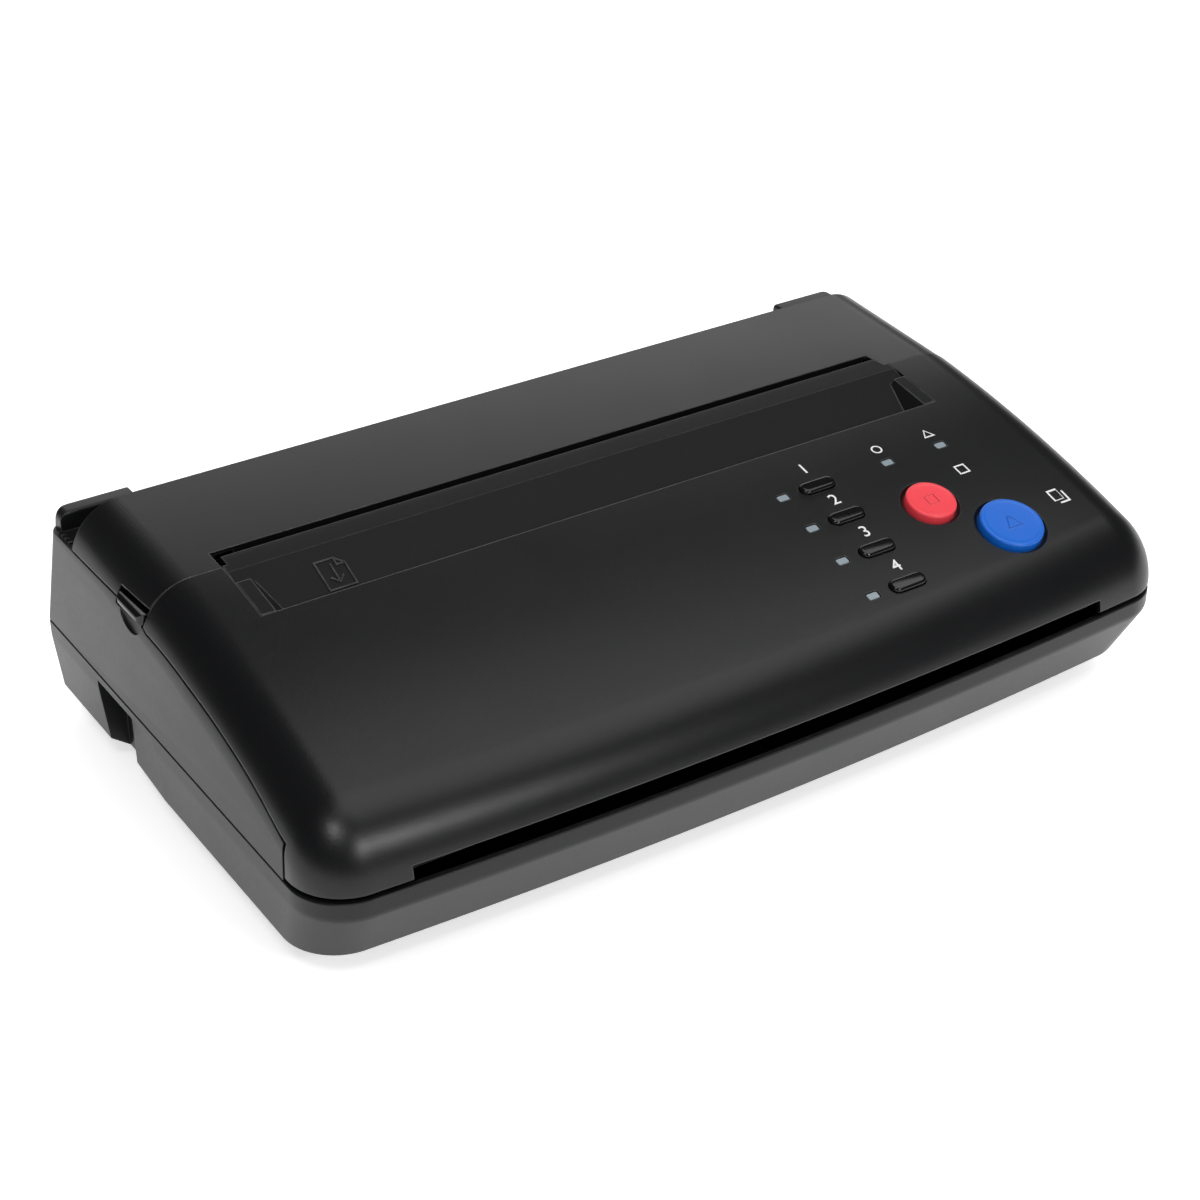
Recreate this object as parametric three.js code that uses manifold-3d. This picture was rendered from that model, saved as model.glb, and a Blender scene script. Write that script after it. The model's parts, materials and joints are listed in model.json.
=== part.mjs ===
// Desk-top thermal copier for stencils, with a hinged rear cover and a hinged front panel.
// X runs along the width, Y from the front to the rear, Z up. Lengths are in millimetres.
import * as THREE from "three";
import { mergeVertices } from "three/addons/utils/BufferGeometryUtils.js";
import Module from "manifold-3d";

const wasm = await Module();
wasm.setup();

// Overall size
const width = 350;
const depth = 212;
const crown_height = 96;
const half = width / 2;
const front_y = -depth / 2;
const rear_y = depth / 2;

// Walls and fits
const wall = 2.2;
const fit = 0.3;
const seam_gap = 0.6;
const hinge_seam_gap = 1.2;
const margin = 40;

// Plan of the casing: the sides draw in and the rear leans forward above the base
const front_bow = 5.8;
const corner_radius = 20;
const rear_corner_low_radius = 2;
const rear_corner_high_radius = 7;
const rear_lean = 7;
const side_draft = 2;
const edge_roll = 19;
const corner_steps = 6;
const front_steps = 10;
const roll_steps = 6;
const station_count = 12;

// Top of the covers: a gentle arch that falls to the front
const crown_inset = 28.25;
const crown_y = rear_y - crown_inset;
const arch_run = crown_y - front_y;
const arch_fall = 33.764;
const arch_lean_fall = 3.289;

// Base
const foot_height = 2.2;
const foot_radius = 7;
const foot_side_inset = 34;
const foot_front_inset = 50.6;
const foot_rear_inset = 26;
const crease_height = 31;
const seam_height = 40.1;
const base_edge_height = 11.6;
const base_edge_side_inset = 2.2;
const base_edge_front_inset = 11.8;
const sole_side_inset = 14;
const sole_front_inset = 24;
const sole_rear_inset = 3;
const cable_bay_depth = 9;
const cable_bay_front = 17;
const cable_bay_rear = 62.3;
const cable_bay_lip = 3;

// Seam between the rear cover and the front panel, and the rear cover's lower edge
const cover_seam_y = 20.5;
const cover_edge_drop = 15.7;
const cover_edge_z = crown_height - cover_edge_drop;

// Side seam, as shares of the way from the cover's seam to the front and from the base to the crown
const side_seam_shares = [
  [-0.7583, 0.1872], [-0.7286, 0.2101], [-0.5975, 0.2976], [-0.4942, 0.3602], [-0.3893, 0.4364],
  [-0.2814, 0.4927], [-0.1707, 0.5374], [-0.0218, 0.5956], [-0.0024, 0.635], [-0.0024, 0.7191],
];

// Paper path
const path_centre = -2;
const path_side_land = 34.3;
const path_half_width = half - path_side_land;
const path_left = path_centre - path_half_width;
const path_right = path_centre + path_half_width;
const tongue_length = 9.1;
const tongue_overhang = 5.5;
const tongue_rear_y = cover_seam_y + tongue_overhang;
const tray_top_y = tongue_rear_y - tongue_length;
const tray_front_inset = 9.5;
const tray_front_y = front_y + tray_front_inset;
const tray_front_rise = 3.16;
const slot_width = 4.4;
const slot_rear_y = tongue_rear_y + slot_width;
const slot_mouth_drop = 8;
const slot_mouth_z = crown_height - slot_mouth_drop;
const skirt_lean = 5.4;
const skirt_drop = 8;
const skirt_foot_y = tongue_rear_y + skirt_lean;
const skirt_foot_z = slot_mouth_z - skirt_drop;
const tongue_steps = 3;
const tongue_side_gap = 1.8;
const lip_reach = 24.6;
const lip_y = tray_top_y - lip_reach;
const lip_thickness = 1.3;
const lip_flat = 4.5;
const lip_relief = 10;
const fence_rear_gap = 6.1;
const fence_rear_y = tray_top_y - fence_rear_gap;
const fence_width = 5;
const exit_slot_height = 6.6;
const rear_slot_rise = 6.4;
const rear_slot_height = 8;

// Rear cover hinge
const hinge_inset = 11.5;
const hinge_rise = 0.3;
const hinge_y = rear_y - hinge_inset;
const hinge_z = cover_edge_z + hinge_rise;
const barrel_radius = 3.3;
const hinge_pin_radius = 1.3;
const ear_side_inset = 4.5;
const ear_length = 28.5;
const ear_outer_x = half - ear_side_inset;
const ear_inner_x = ear_outer_x - ear_length;
const ear_front_reach = 2.6;
const ear_front_y = hinge_y - ear_front_reach;
const ear_rise = 6.7;
const ear_top = cover_edge_z + ear_rise;
const ear_root = 6.3;
const ear_corner = 3.5;
const ear_edge = 1.2;

// Front panel hinge
const panel_axis_inset = 11.5;
const panel_axis_rise = 6.9;
const panel_axis_y = front_y + panel_axis_inset;
const panel_axis_z = seam_height + panel_axis_rise;
const panel_pin_radius = 1.6;
const panel_pin_reach = 4.4;
const panel_lug_radius = 4.2;
const lip_bevel = 1.2;

// Side frames, with parts of the outline as shares like those of the side seam
const frame_inset = 25;
const frame_x = half - frame_inset;
const frame_plate = 1.5;
const frame_drop = 4.1;
const frame_seat_run = 14;
const frame_front_shares = [
  [-0.8893, 0.1735], [-0.7945, 0.2844], [-0.6522, 0.4275], [-0.3202, 0.7138], [-0.1146, 0.7674],
  [-0.0119, 0.678],
];
const keeper_shares = [[-2.235, -0.88], [0.1176, -0.88], [0.1176, 1.03], [1.147, 1.47], [1.88, 1.03]];
const frame_rear_shares = [[0.5088, 0.356], [0.8363, 0.2844]];
const floor_front_inset = 70;
const floor_front_y = front_y + floor_front_inset;

// Rollers
const feed_gap = 12.3;
const feed_y = lip_y - feed_gap;
const exit_inset = 20;
const exit_y = front_y + exit_inset;
const shaft_radius = 3;
const thin_shaft_radius = 1.5;
const platen_radius = 8;
const bracket_inset = 6.7;
const bracket_x = path_half_width - bracket_inset;
const platen_end_gap = 6;
const platen_half_length = bracket_x - platen_end_gap;
const feed_radius = 7;
const feed_half_length = 60;
const exit_radius = 4.5;
const exit_end_gap = 20.7;
const exit_half_length = path_half_width - exit_end_gap;
const backing_radius = 3.3;
const pinch_radius = 3.6;
const bush_radius = 5;
const bush_width = 4;
const roller_proud = 0.5;

// Gears, all of one tooth size
const gear_module = 1;
const gear_width = 5;
const gear_inset = 16;
const gear_x = gear_inset - half;
const pinion_teeth = 12;
const platen_teeth = 16;
const lift_idler_teeth = 20;
const feed_teeth = 14;
const lift_idler_turn_share = -0.523;
const pinion_turn_share = 0.944;
const tooth_tip_share = 0.09;
const tooth_root_share = 0.27;
const addendum_share = 0.85;
const dedendum_share = 1.1;

// Belt from the feed roller to the exit roller
const belt_gap = 1.2;
const belt_left = gear_x + gear_width / 2 + belt_gap;
const belt_width = 3.2;
const belt_thickness = 1;
const feed_pulley_radius = 6.4;
const exit_pulley_radius = 4;
const pulley_flange = 0.9;
const pulley_rim = 0.6;

// Motor
const motor_radius = 15;
const motor_length = 17;

// Thermal head
const nip_setback = 17.5;
const nip_drop = 28;
const nip_y = cover_seam_y + nip_setback;
const nip_z = crown_height - nip_drop;
const nip_angle_share = 0.2665;
const head_board = 6;
const head_length = 27;
const head_strip = 12;
const head_strip_thickness = 1;
const head_bracket = 1.6;
const spring_radius = 3.6;
const spring_wire = 0.8;
const spring_turns = 5;
const spring_inset = 36;
const spring_x = platen_half_length - spring_inset;

// Image sensor
const sensor_inset = 44;
const sensor_y = front_y + sensor_inset;
const sensor_bar_width = 15;
const sensor_bar_height = 10;
const sensor_glass = 1;

// Controls on the panel. Places are shares: X of the way from the middle to the tray's right edge, and Y of
// the way from the panel's lip to the front.
const key_x_share = 0.4694;
const key_first_share = 0.2268;
const key_last_share = 0.7518;
const ready_lamp_shares = [0.7058, 0.2218];
const alert_lamp_shares = [0.8854, 0.2218];
const stop_shares = [0.7073, 0.468];
const copy_shares = [0.8572, 0.6745];
const key_length = 15;
const key_width = 5.8;
const key_proud = 1.5;
const key_count = 4;
const lamp_gap = 15.1;
const lamp_length = 5;
const lamp_width = 3.4;
const stop_radius = 9.4;
const copy_radius = 11.9;
const button_proud = 3;
const button_crown_share = 0.33;
const button_ring = 3;
const button_ring_depth = 1;
const flange = 1.2;
const key_board_depth = 5.6;
const board = 1.6;
const key_x = path_right * key_x_share;
const lamp_x = key_x - lamp_gap;

// Small parts inside
const bracket = 2.5;
const bracket_ring = 2;
const inner_ring = 1.3;
const inner_bracket_inset = 4.2;
const inner_bracket_left = path_left + inner_bracket_inset;
const inner_bracket_right = path_right - inner_bracket_inset;
const pad_half_width = 16;
const pad_run = 10;
const pad_clearance = 0.4;
const motor_shaft_radius = 1.2;
const stud_radius = 1.5;
const sink_start = -14;
const bracket_tail = 18;
const bracket_pin_radius = 1.5;
const bracket_ledge_drop = 12;
const bracket_ledge_low = nip_z - bracket_ledge_drop;
const spring_setback = 18;
const spring_y = nip_y - spring_setback;
const bracket_ledge_reach = 5;
const bracket_ledge_front = spring_y - bracket_ledge_reach;
const ledge = 1.6;
const spring_sides = 4;
const spring_steps = 9;

// Boards and their posts
const board_low = 11.7;
const supply_board_inset = 25;
const supply_board_length = 88;
const supply_board_rear_inset = 22;
const supply_board_depth = 60;
const board_gap = 22;
const main_board_inset = 45;
const main_board_front_inset = 51;
const main_board_rear_inset = 56;
const supply_board_left = supply_board_inset - half;
const supply_board_right = supply_board_left + supply_board_length;
const supply_board_rear = rear_y - supply_board_rear_inset;
const supply_board = [
  supply_board_left, supply_board_right, supply_board_rear - supply_board_depth, supply_board_rear,
];
const main_board = [
  supply_board_right + board_gap, half - main_board_inset, front_y + main_board_front_inset,
  rear_y - main_board_rear_inset,
];
const post_radius = 3;
const post_inset = 7;
const joint_post_radius = 4;
const joint_post_front_inset = 81;
const joint_post_rear_inset = 14;

// Components as shares of the board: place, size and height
const main_component_shares = [
  [0.3, 0.55, 0.13, 0.2, 0.02], [0.6, 0.6, 0.1, 0.16, 0.02], [0.5, 0.93, 0.5, 0.06, 0.05],
  [0.93, 0.5, 0.05, 0.5, 0.05], [0.18, 0.15, 0.08, 0.12, 0.06],
];
const supply_component_shares = [
  [0.35, 0.4, 0.34, 0.42, 0.22], [0.75, 0.7, 0.18, 0.26, 0.2], [0.75, 0.25, 0.2, 0.2, 0.14],
];

// Mains inlet and switch in the rear wall
const inlet_inset = 55;
const inlet_x = inlet_inset - half;
const switch_gap = 35;
const switch_x = inlet_x + switch_gap;
const socket_z = 21;
const inlet_width = 24;
const inlet_height = 14;
const inlet_length = 13;
const inlet_recess = 9;
const inlet_wall = 2;
const inlet_pin_radius = 1.2;
const inlet_pin_pitch = 8.6;
const switch_width = 14;
const switch_height = 20;
const rocker_half_width = 4.4;
const rocker_half_height = 6.8;
const rocker_inset = 5.8;
const rocker_axis_y = rear_y - rocker_inset;
const rocker_tilt_share = 0.0444;
const rocker_edge = 4.4;
const rocker_middle = 3.2;
const rocker_root = 3;

// Latch
const latch_setback = 16.5;
const latch_y = cover_seam_y + latch_setback;
const latch_rise = 4.2;
const latch_z = cover_edge_z + latch_rise;
const latch_radius = 2.5;
const lug_setback = 0.6;
const lug_length = 19;
const lug_front_y = cover_seam_y + lug_setback;
const lug_rear_y = lug_front_y + lug_length;
const lug_height = 4;
const lug_corner = 3;
const lug_proud = 0.4;
const lug_drop = 2;
const lug_low = cover_edge_z - lug_drop;
const lug_lift = 1.7;
const lug_outer_x = half - side_draft + lug_proud;
const latch_arm_inset = 11.5;
const latch_arm_x = half - latch_arm_inset;
const latch_boss_gap = 23.5;
const latch_boss_x = latch_arm_x - latch_boss_gap;
const latch_arm = 3;
const hook_drop = 7.3;
const hook_low = cover_edge_z - hook_drop;
const hook_reach = 11;
const hook_front_y = latch_y - hook_reach;
const hook_thickness = 3.4;
const hook_nose = 5.6;
const hook_nose_y = hook_front_y + hook_nose;
const scoop_depth = 2;
const scoop_half_length = 8;
const scoop_height = 5.6;

// Hinge arm of the rear cover
const arm_end_gap = 4;
const arm_half_width = ear_inner_x - arm_end_gap;
const arm_rise = 6.7;
const arm_top = cover_edge_z + arm_rise;
const arm_thickness = 2.6;
const pin_hold = 8;
const pin_cap = 4.8;
const pin_inner_x = arm_half_width - pin_hold;
const pin_outer_x = ear_outer_x - pin_cap;
const ledge_rib = 1;
const ledge_rib_pitch = 6;
const ledge_overlap = 1.75;
const ledge_front_y = crown_y - ledge_overlap;

const base_top = seam_height - fit / 2;
const casing_bottom = seam_height + fit / 2;
const panel_bottom = base_top + hinge_seam_gap;
const base_bottom = foot_height + fit;

// Finishes: colour, roughness, metalness
const finishes = {
  casing: [0x2b2c2e, 0.55, 0],
  cover: [0x303134, 0.5, 0],
  panel: [0x303134, 0.5, 0],
  tray: [0x2c2d2f, 0.55, 0],
  key: [0x1a1b1d, 0.45, 0],
  stop: [0xe0303a, 0.35, 0],
  copy: [0x1f62c4, 0.35, 0],
  lamp: [0xa9b7cc, 0.3, 0],
  rubber: [0x1d1d1d, 0.8, 0],
  white: [0xe8e8e4, 0.6, 0],
  steel: [0xb4b7ba, 0.35, 1],
  aluminium: [0xc4c6c8, 0.4, 1],
  gear: [0xe6e2d6, 0.5, 0],
  board: [0x1f6b3a, 0.5, 0],
  glass: [0x9fb4bd, 0.08, 0],
  ceramic: [0xd8d6cf, 0.3, 0],
  socket: [0x161617, 0.5, 0],
};

// A closed three.js geometry as a solid that can be joined and cut
function solid(geometry) {
  const bare = new THREE.BufferGeometry();
  bare.setAttribute("position", geometry.getAttribute("position"));
  if (geometry.index) bare.setIndex(geometry.index);
  const merged = mergeVertices(bare);
  const vertProperties = new Float32Array(merged.getAttribute("position").array);
  const triVerts = new Uint32Array(merged.index.array);
  return new wasm.Manifold(new wasm.Mesh({ numProp: 3, vertProperties, triVerts }));
}

function join(list) {
  return list.reduce((whole, item) => whole.add(item));
}

function cut(whole, list) {
  return list.reduce((rest, item) => rest.subtract(item), whole);
}

function mirror_x(maker) {
  return [maker(-1), maker(1)];
}

function shape_of(points) {
  return new THREE.Shape(points.map(([a, b]) => new THREE.Vector2(a, b)));
}

// Outline in X and Y, raised from one height to another
function along_z(points, low, high) {
  const geometry = new THREE.ExtrudeGeometry(shape_of(points), { depth: high - low, bevelEnabled: false });
  return solid(geometry.translate(0, 0, low));
}

// Outline in Y and Z, drawn out along X
function along_x(points, left, right) {
  const geometry = new THREE.ExtrudeGeometry(shape_of(points), { depth: right - left, bevelEnabled: false });
  const axes = new THREE.Matrix4().makeBasis(
    new THREE.Vector3(0, 1, 0), new THREE.Vector3(0, 0, 1), new THREE.Vector3(1, 0, 0));
  return solid(geometry.applyMatrix4(axes).translate(left, 0, 0));
}

function box(left, right, front, rear, low, high) {
  const geometry = new THREE.BoxGeometry(right - left, rear - front, high - low);
  return solid(geometry.translate((left + right) / 2, (front + rear) / 2, (low + high) / 2));
}

// Round bar along X
function bar_x(radius, left, right, y, z, sides = 24) {
  const geometry = new THREE.CylinderGeometry(radius, radius, right - left, sides);
  geometry.rotateZ(Math.PI / 2);
  return solid(geometry.translate((left + right) / 2, y, z));
}

function bar_z(radius, low, high, x, y, sides = 24) {
  const geometry = new THREE.CylinderGeometry(radius, radius, high - low, sides);
  geometry.rotateX(Math.PI / 2);
  return solid(geometry.translate(x, y, (low + high) / 2));
}

function bar_y(radius, front, rear, x, z, sides = 24) {
  const geometry = new THREE.CylinderGeometry(radius, radius, rear - front, sides);
  return solid(geometry.translate(x, (front + rear) / 2, z));
}

// Outline in X and Z, drawn out along Y
function along_y(points, front, rear) {
  const geometry = new THREE.ExtrudeGeometry(shape_of(points), { depth: rear - front, bevelEnabled: false });
  const axes = new THREE.Matrix4().makeBasis(
    new THREE.Vector3(1, 0, 0), new THREE.Vector3(0, 0, 1), new THREE.Vector3(0, -1, 0));
  return solid(geometry.applyMatrix4(axes).translate(0, rear, 0));
}

function placed(geometry, matrix) {
  return solid(geometry.applyMatrix4(matrix));
}

// Closed skin over rings that all have the same number of points
function loft(rings, cap) {
  const count = rings[0].length;
  const positions = rings.flat(2);
  const index = [];
  for (let ring = 0; ring + 1 < rings.length; ring += 1) {
    for (let i = 0; i < count; i += 1) {
      const next = (i + 1) % count;
      const a = ring * count + i;
      const b = ring * count + next;
      index.push(a, b, b + count, a, b + count, a + count);
    }
  }
  const last = (rings.length - 1) * count;
  for (const [i, j, k] of cap(count)) {
    index.push(i, k, j, last + i, last + j, last + k);
  }
  const geometry = new THREE.BufferGeometry();
  geometry.setAttribute("position", new THREE.Float32BufferAttribute(positions, 3));
  geometry.setIndex(index);
  return solid(geometry);
}

function fan_cap(count) {
  return Array.from({ length: count - 2 }, (_, i) => [0, i + 1, i + 2]);
}

// Strips from side to side, and a fan over the front
function strip_cap(stations) {
  return (count) => {
    const faces = [];
    for (let i = 0; i + 1 < stations; i += 1) {
      const mate = count - 1 - i;
      faces.push([i, i + 1, mate], [i + 1, mate - 1, mate]);
    }
    const start = stations - 1;
    for (let i = start + 1; i < count - stations; i += 1) faces.push([start, i, i + 1]);
    return faces;
  };
}

function arc(cx, cy, radius, from, to, steps) {
  return Array.from({ length: steps + 1 }, (_, i) => {
    const turn = (from + ((to - from) * i) / steps) * Math.PI;
    return [cx + radius * Math.cos(turn), cy + radius * Math.sin(turn)];
  });
}

// Front half of the plan, from the left side round to the right side, moved in by inset
function front_plan(inset, side = half, front = front_y) {
  const reach = side - corner_radius;
  const centre_y = front + front_bow + corner_radius;
  const radius = corner_radius - inset;
  const left = arc(-reach, centre_y, radius, 1, 1.5, corner_steps);
  const right = arc(reach, centre_y, radius, 1.5, 2, corner_steps);
  const middle = Array.from({ length: front_steps - 1 }, (_, i) => {
    const x = -reach + (2 * reach * (i + 1)) / front_steps;
    return [x, front + front_bow * (x / reach) ** 2 + inset];
  });
  return [...left, ...middle, ...right];
}

function full_plan(inset, side = half, front = front_y, rear = rear_y, corner = rear_corner_low_radius) {
  const radius = Math.max(corner - inset, fit);
  const cx = side - inset - radius;
  const cy = rear - inset - radius;
  const right = arc(cx, cy, radius, 0, 0.5, corner_steps / 2);
  const left = arc(-cx, cy, radius, 0.5, 1, corner_steps / 2);
  return [...front_plan(inset, side, front), ...right, ...left];
}

// Share of the way up the side, from the base's seam to the cover's edge
function rise_share(z) {
  return (z - seam_height) / (cover_edge_z - seam_height);
}

function drawn_in(x, z) {
  return x * (1 - (side_draft * rise_share(z)) / half);
}

function wall_plan(inset, z) {
  const share = rise_share(z);
  const corner = rear_corner_low_radius + (rear_corner_high_radius - rear_corner_low_radius) * share;
  const plan = full_plan(inset, half, front_y, rear_y - rear_lean * share, corner);
  return plan.map(([x, y]) => [drawn_in(x, z), y, z]);
}

// Closed skin over plans at rising heights
function stacked(rows) {
  return loft(rows.map(([plan, z]) => plan.map(([x, y]) => [x, y, z])), fan_cap);
}

// Height of the covers' upper surface
function top_z(y) {
  const back = (crown_y - y) / arch_run;
  return crown_height - arch_lean_fall * back - arch_fall * back ** 2;
}

function top_slope(y) {
  return (arch_lean_fall + (2 * arch_fall * (crown_y - y)) / arch_run) / arch_run;
}

// Everything under the covers' surface, moved in by inset, with its edges rolled over
function pillow(inset) {
  const start = front_plan(inset)[0][1];
  const rear = rear_y + margin;
  const stations = Array.from({ length: station_count },
    (_, i) => rear + ((start - rear) * i) / station_count);
  const roll = edge_roll - inset;
  const ring = (distance, drop) => {
    const front = front_plan(distance);
    const side = half - distance;
    const left = stations.map((y) => [-side, y]);
    const right = stations.map((y) => [side, y]).reverse();
    return [...left, ...front, ...right].map(([x, y]) => {
      const z = drop === null ? 0 : top_z(y) - drop;
      return [drawn_in(x, z), y, z];
    });
  };
  const rings = [ring(inset, null)];
  for (let i = 0; i <= roll_steps; i += 1) {
    const turn = (Math.PI / 2) * (i / roll_steps);
    rings.push(ring(inset + roll * (1 - Math.cos(turn)), inset + roll * (1 - Math.sin(turn))));
  }
  return loft(rings, strip_cap(station_count + 1));
}

// Everything inside the upright walls
function plan_block(inset, low, high) {
  return loft([wall_plan(inset, low), wall_plan(inset, high)], fan_cap);
}

// A point on the covers' surface: X across, Y up the slope, Z square to the surface
function on_top(x, y) {
  const slope = Math.atan(top_slope(y));
  return new THREE.Matrix4()
    .makeTranslation(x, y, top_z(y))
    .multiply(new THREE.Matrix4().makeRotationX(slope));
}

const tray_fall = top_z(tray_top_y) - seam_height - tray_front_rise;
const tray_slope = tray_fall / (tray_top_y - tray_front_y);

function tray_z(y) {
  return top_z(tray_top_y) - tray_slope * (tray_top_y - y);
}

// Point at a distance above the tray's sloping floor
function over_tray(y, lift) {
  const length = Math.hypot(1, tray_slope);
  return [y - (lift * tray_slope) / length, tray_z(y) + lift / length];
}

// Block that lies on the tray's slope, between two lifts over its floor
function slope_block(left, right, y, run, low, high) {
  const [cy, cz] = over_tray(y, (low + high) / 2);
  const geometry = new THREE.BoxGeometry(right - left, run, high - low);
  const tilt = new THREE.Matrix4().makeRotationX(Math.atan(tray_slope));
  const move = new THREE.Matrix4().makeTranslation((left + right) / 2, cy, cz);
  return placed(geometry, move.multiply(tilt));
}

// Points given as shares of the way from the cover's seam to one end, and from the base to the crown
function spread_out(shares, end_y) {
  const run = Math.abs(end_y - cover_seam_y);
  return shares.map(([y, z]) => [cover_seam_y + run * y, seam_height + (crown_height - seam_height) * z]);
}

function seam_line(shift_y, shift_z) {
  return spread_out(side_seam_shares, front_y).map(([y, z]) => [y + shift_y, z + shift_z]);
}

const nip_angle = nip_angle_share * Math.PI;

// Point of the thermal head: along the paper's way down, and out towards the platen
function at_nip(along, out) {
  const c = Math.cos(nip_angle);
  const s = Math.sin(nip_angle);
  return [nip_y + along * c + out * s, nip_z - along * s + out * c];
}

function nip_block(left, right, from, to, low, high) {
  return along_x([at_nip(from, low), at_nip(to, low), at_nip(to, high), at_nip(from, high)], left, right);
}

// Shaft places, in Y and Z
const platen_at = at_nip(0, platen_radius);
const feed_at = over_tray(feed_y, roller_proud - feed_radius);
const exit_at = over_tray(exit_y, roller_proud - exit_radius);
const backing_at = over_tray(sensor_y, backing_radius + fit);
const pinch_at = over_tray(exit_y, pinch_radius + roller_proud + fit);

const bracket_pivot_at = at_nip(bracket_tail, -head_board - bracket);

// Gears

function pitch_radius(teeth) {
  return (gear_module * teeth) / 2;
}

function spread(teeth_a, teeth_b) {
  return pitch_radius(teeth_a) + pitch_radius(teeth_b);
}

function step_from([y, z], distance, turn_share) {
  const turn = turn_share * Math.PI;
  return [y + distance * Math.cos(turn), z + distance * Math.sin(turn)];
}

// The point at given distances from two others, on the side that is lower
function meet([ay, az], from_a, [by, bz], from_b) {
  const apart = Math.hypot(by - ay, bz - az);
  const along = (from_a ** 2 - from_b ** 2 + apart ** 2) / (2 * apart);
  const off = Math.sqrt(from_a ** 2 - along ** 2);
  const uy = (by - ay) / apart;
  const uz = (bz - az) / apart;
  const sides = [1, -1].map((side) => [ay + along * uy - side * off * uz,
    az + along * uz + side * off * uy]);
  return sides[0][1] < sides[1][1] ? sides[0] : sides[1];
}

// Turn of a gear, so that its teeth stand in the gaps of the gear that it meets
function mate_turn(from, to) {
  const angle = Math.atan2(to.at[1] - from.at[1], to.at[0] - from.at[0]);
  const place = ((angle - from.turn) * from.teeth) / (2 * Math.PI);
  return { ...to, turn: angle + Math.PI - ((0.5 - place) * 2 * Math.PI) / to.teeth };
}

function gear_outline({ at, teeth, turn }) {
  const tip = pitch_radius(teeth) + gear_module * addendum_share;
  const root = pitch_radius(teeth) - gear_module * dedendum_share;
  const pitch = (2 * Math.PI) / teeth;
  const corners = [[root, -tooth_root_share], [tip, -tooth_tip_share], [tip, tooth_tip_share],
    [root, tooth_root_share]];
  const points = [];
  for (let tooth = 0; tooth < teeth; tooth += 1) {
    for (const [radius, share] of corners) {
      const angle = turn + (tooth + share) * pitch;
      points.push([at[0] + radius * Math.cos(angle), at[1] + radius * Math.sin(angle)]);
    }
  }
  return points;
}

function gear_blank(gear) {
  return along_x(gear_outline(gear), gear_x - gear_width / 2, gear_x + gear_width / 2);
}

function gear_with_bore(gear, bore) {
  const hole = bar_x(bore, gear_x - gear_width, gear_x + gear_width, ...gear.at);
  return cut(gear_blank(gear), [hole]);
}

const platen_gear = { at: platen_at, teeth: platen_teeth, turn: 0 };
const lift_idler_at = step_from(platen_at, spread(platen_teeth, lift_idler_teeth), lift_idler_turn_share);
const lift_idler = mate_turn(platen_gear, { at: lift_idler_at, teeth: lift_idler_teeth });
const motor_at = step_from(lift_idler_at, spread(lift_idler_teeth, pinion_teeth), pinion_turn_share);

// The fewest teeth that still reach from the pinion to the feed gear
const feed_reach = Math.hypot(motor_at[0] - feed_at[0], motor_at[1] - feed_at[1]);
const feed_idler_teeth = Math.ceil(feed_reach / gear_module - (pinion_teeth + feed_teeth) / 2);
const pinion = mate_turn(lift_idler, { at: motor_at, teeth: pinion_teeth });
const feed_idler_at = meet(
  motor_at, spread(pinion_teeth, feed_idler_teeth), feed_at, spread(feed_idler_teeth, feed_teeth));
const feed_idler = mate_turn(pinion, { at: feed_idler_at, teeth: feed_idler_teeth });
const feed_gear = mate_turn(feed_idler, { at: feed_at, teeth: feed_teeth });

const studs = [lift_idler, feed_idler];
const frame_outer = frame_x + frame_plate / 2;
const frame_inner = frame_x - frame_plate / 2;

// Base

// Upright band at the top, a band that leans in under the crease, then the sole
function base_solid(inset, low, high) {
  return stacked([
    [full_plan(inset, half - sole_side_inset, front_y + sole_front_inset, rear_y - sole_rear_inset), low],
    [full_plan(inset, half - base_edge_side_inset, front_y + base_edge_front_inset), base_edge_height],
    [full_plan(inset), crease_height],
    [full_plan(inset), high],
  ]);
}

// Bay in the left side for the cables, deep at the rear and level with the side at the front
function cable_bay(grow, low, high) {
  const outer = -half - margin;
  const inner = -half + cable_bay_depth + grow;
  const points = [
    [outer, cable_bay_front - grow], [-half, cable_bay_front - grow],
    [inner, cable_bay_rear - cable_bay_depth],
    [inner, cable_bay_rear + grow], [outer, cable_bay_rear + grow],
  ];
  return along_z(points, low, high);
}

function board_posts([left, right, front, rear]) {
  const posts = [];
  for (const x of [left + post_inset, right - post_inset]) {
    for (const y of [front + post_inset, rear - post_inset]) {
      posts.push(bar_z(post_radius, base_bottom + wall / 2, board_low - fit, x, y, 8));
    }
  }
  return posts;
}

function joint_posts() {
  const posts = [];
  for (const x of [-frame_x, frame_x]) {
    for (const y of [front_y + joint_post_front_inset, rear_y - joint_post_rear_inset]) {
      posts.push(bar_z(joint_post_radius, base_bottom + wall / 2, base_top, x, y, 10));
    }
  }
  return posts;
}

function foot_places() {
  const x = half - foot_side_inset;
  const front = front_y + foot_front_inset;
  const rear = rear_y - foot_rear_inset;
  return [["front_left", -x, front], ["front_right", x, front], ["rear_left", -x, rear],
    ["rear_right", x, rear]];
}

function rear_window(x, wide, high) {
  return box(x - wide / 2 - fit, x + wide / 2 + fit, rear_y - margin / 2, rear_y + margin,
    socket_z - high / 2 - fit, socket_z + high / 2 + fit);
}

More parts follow.
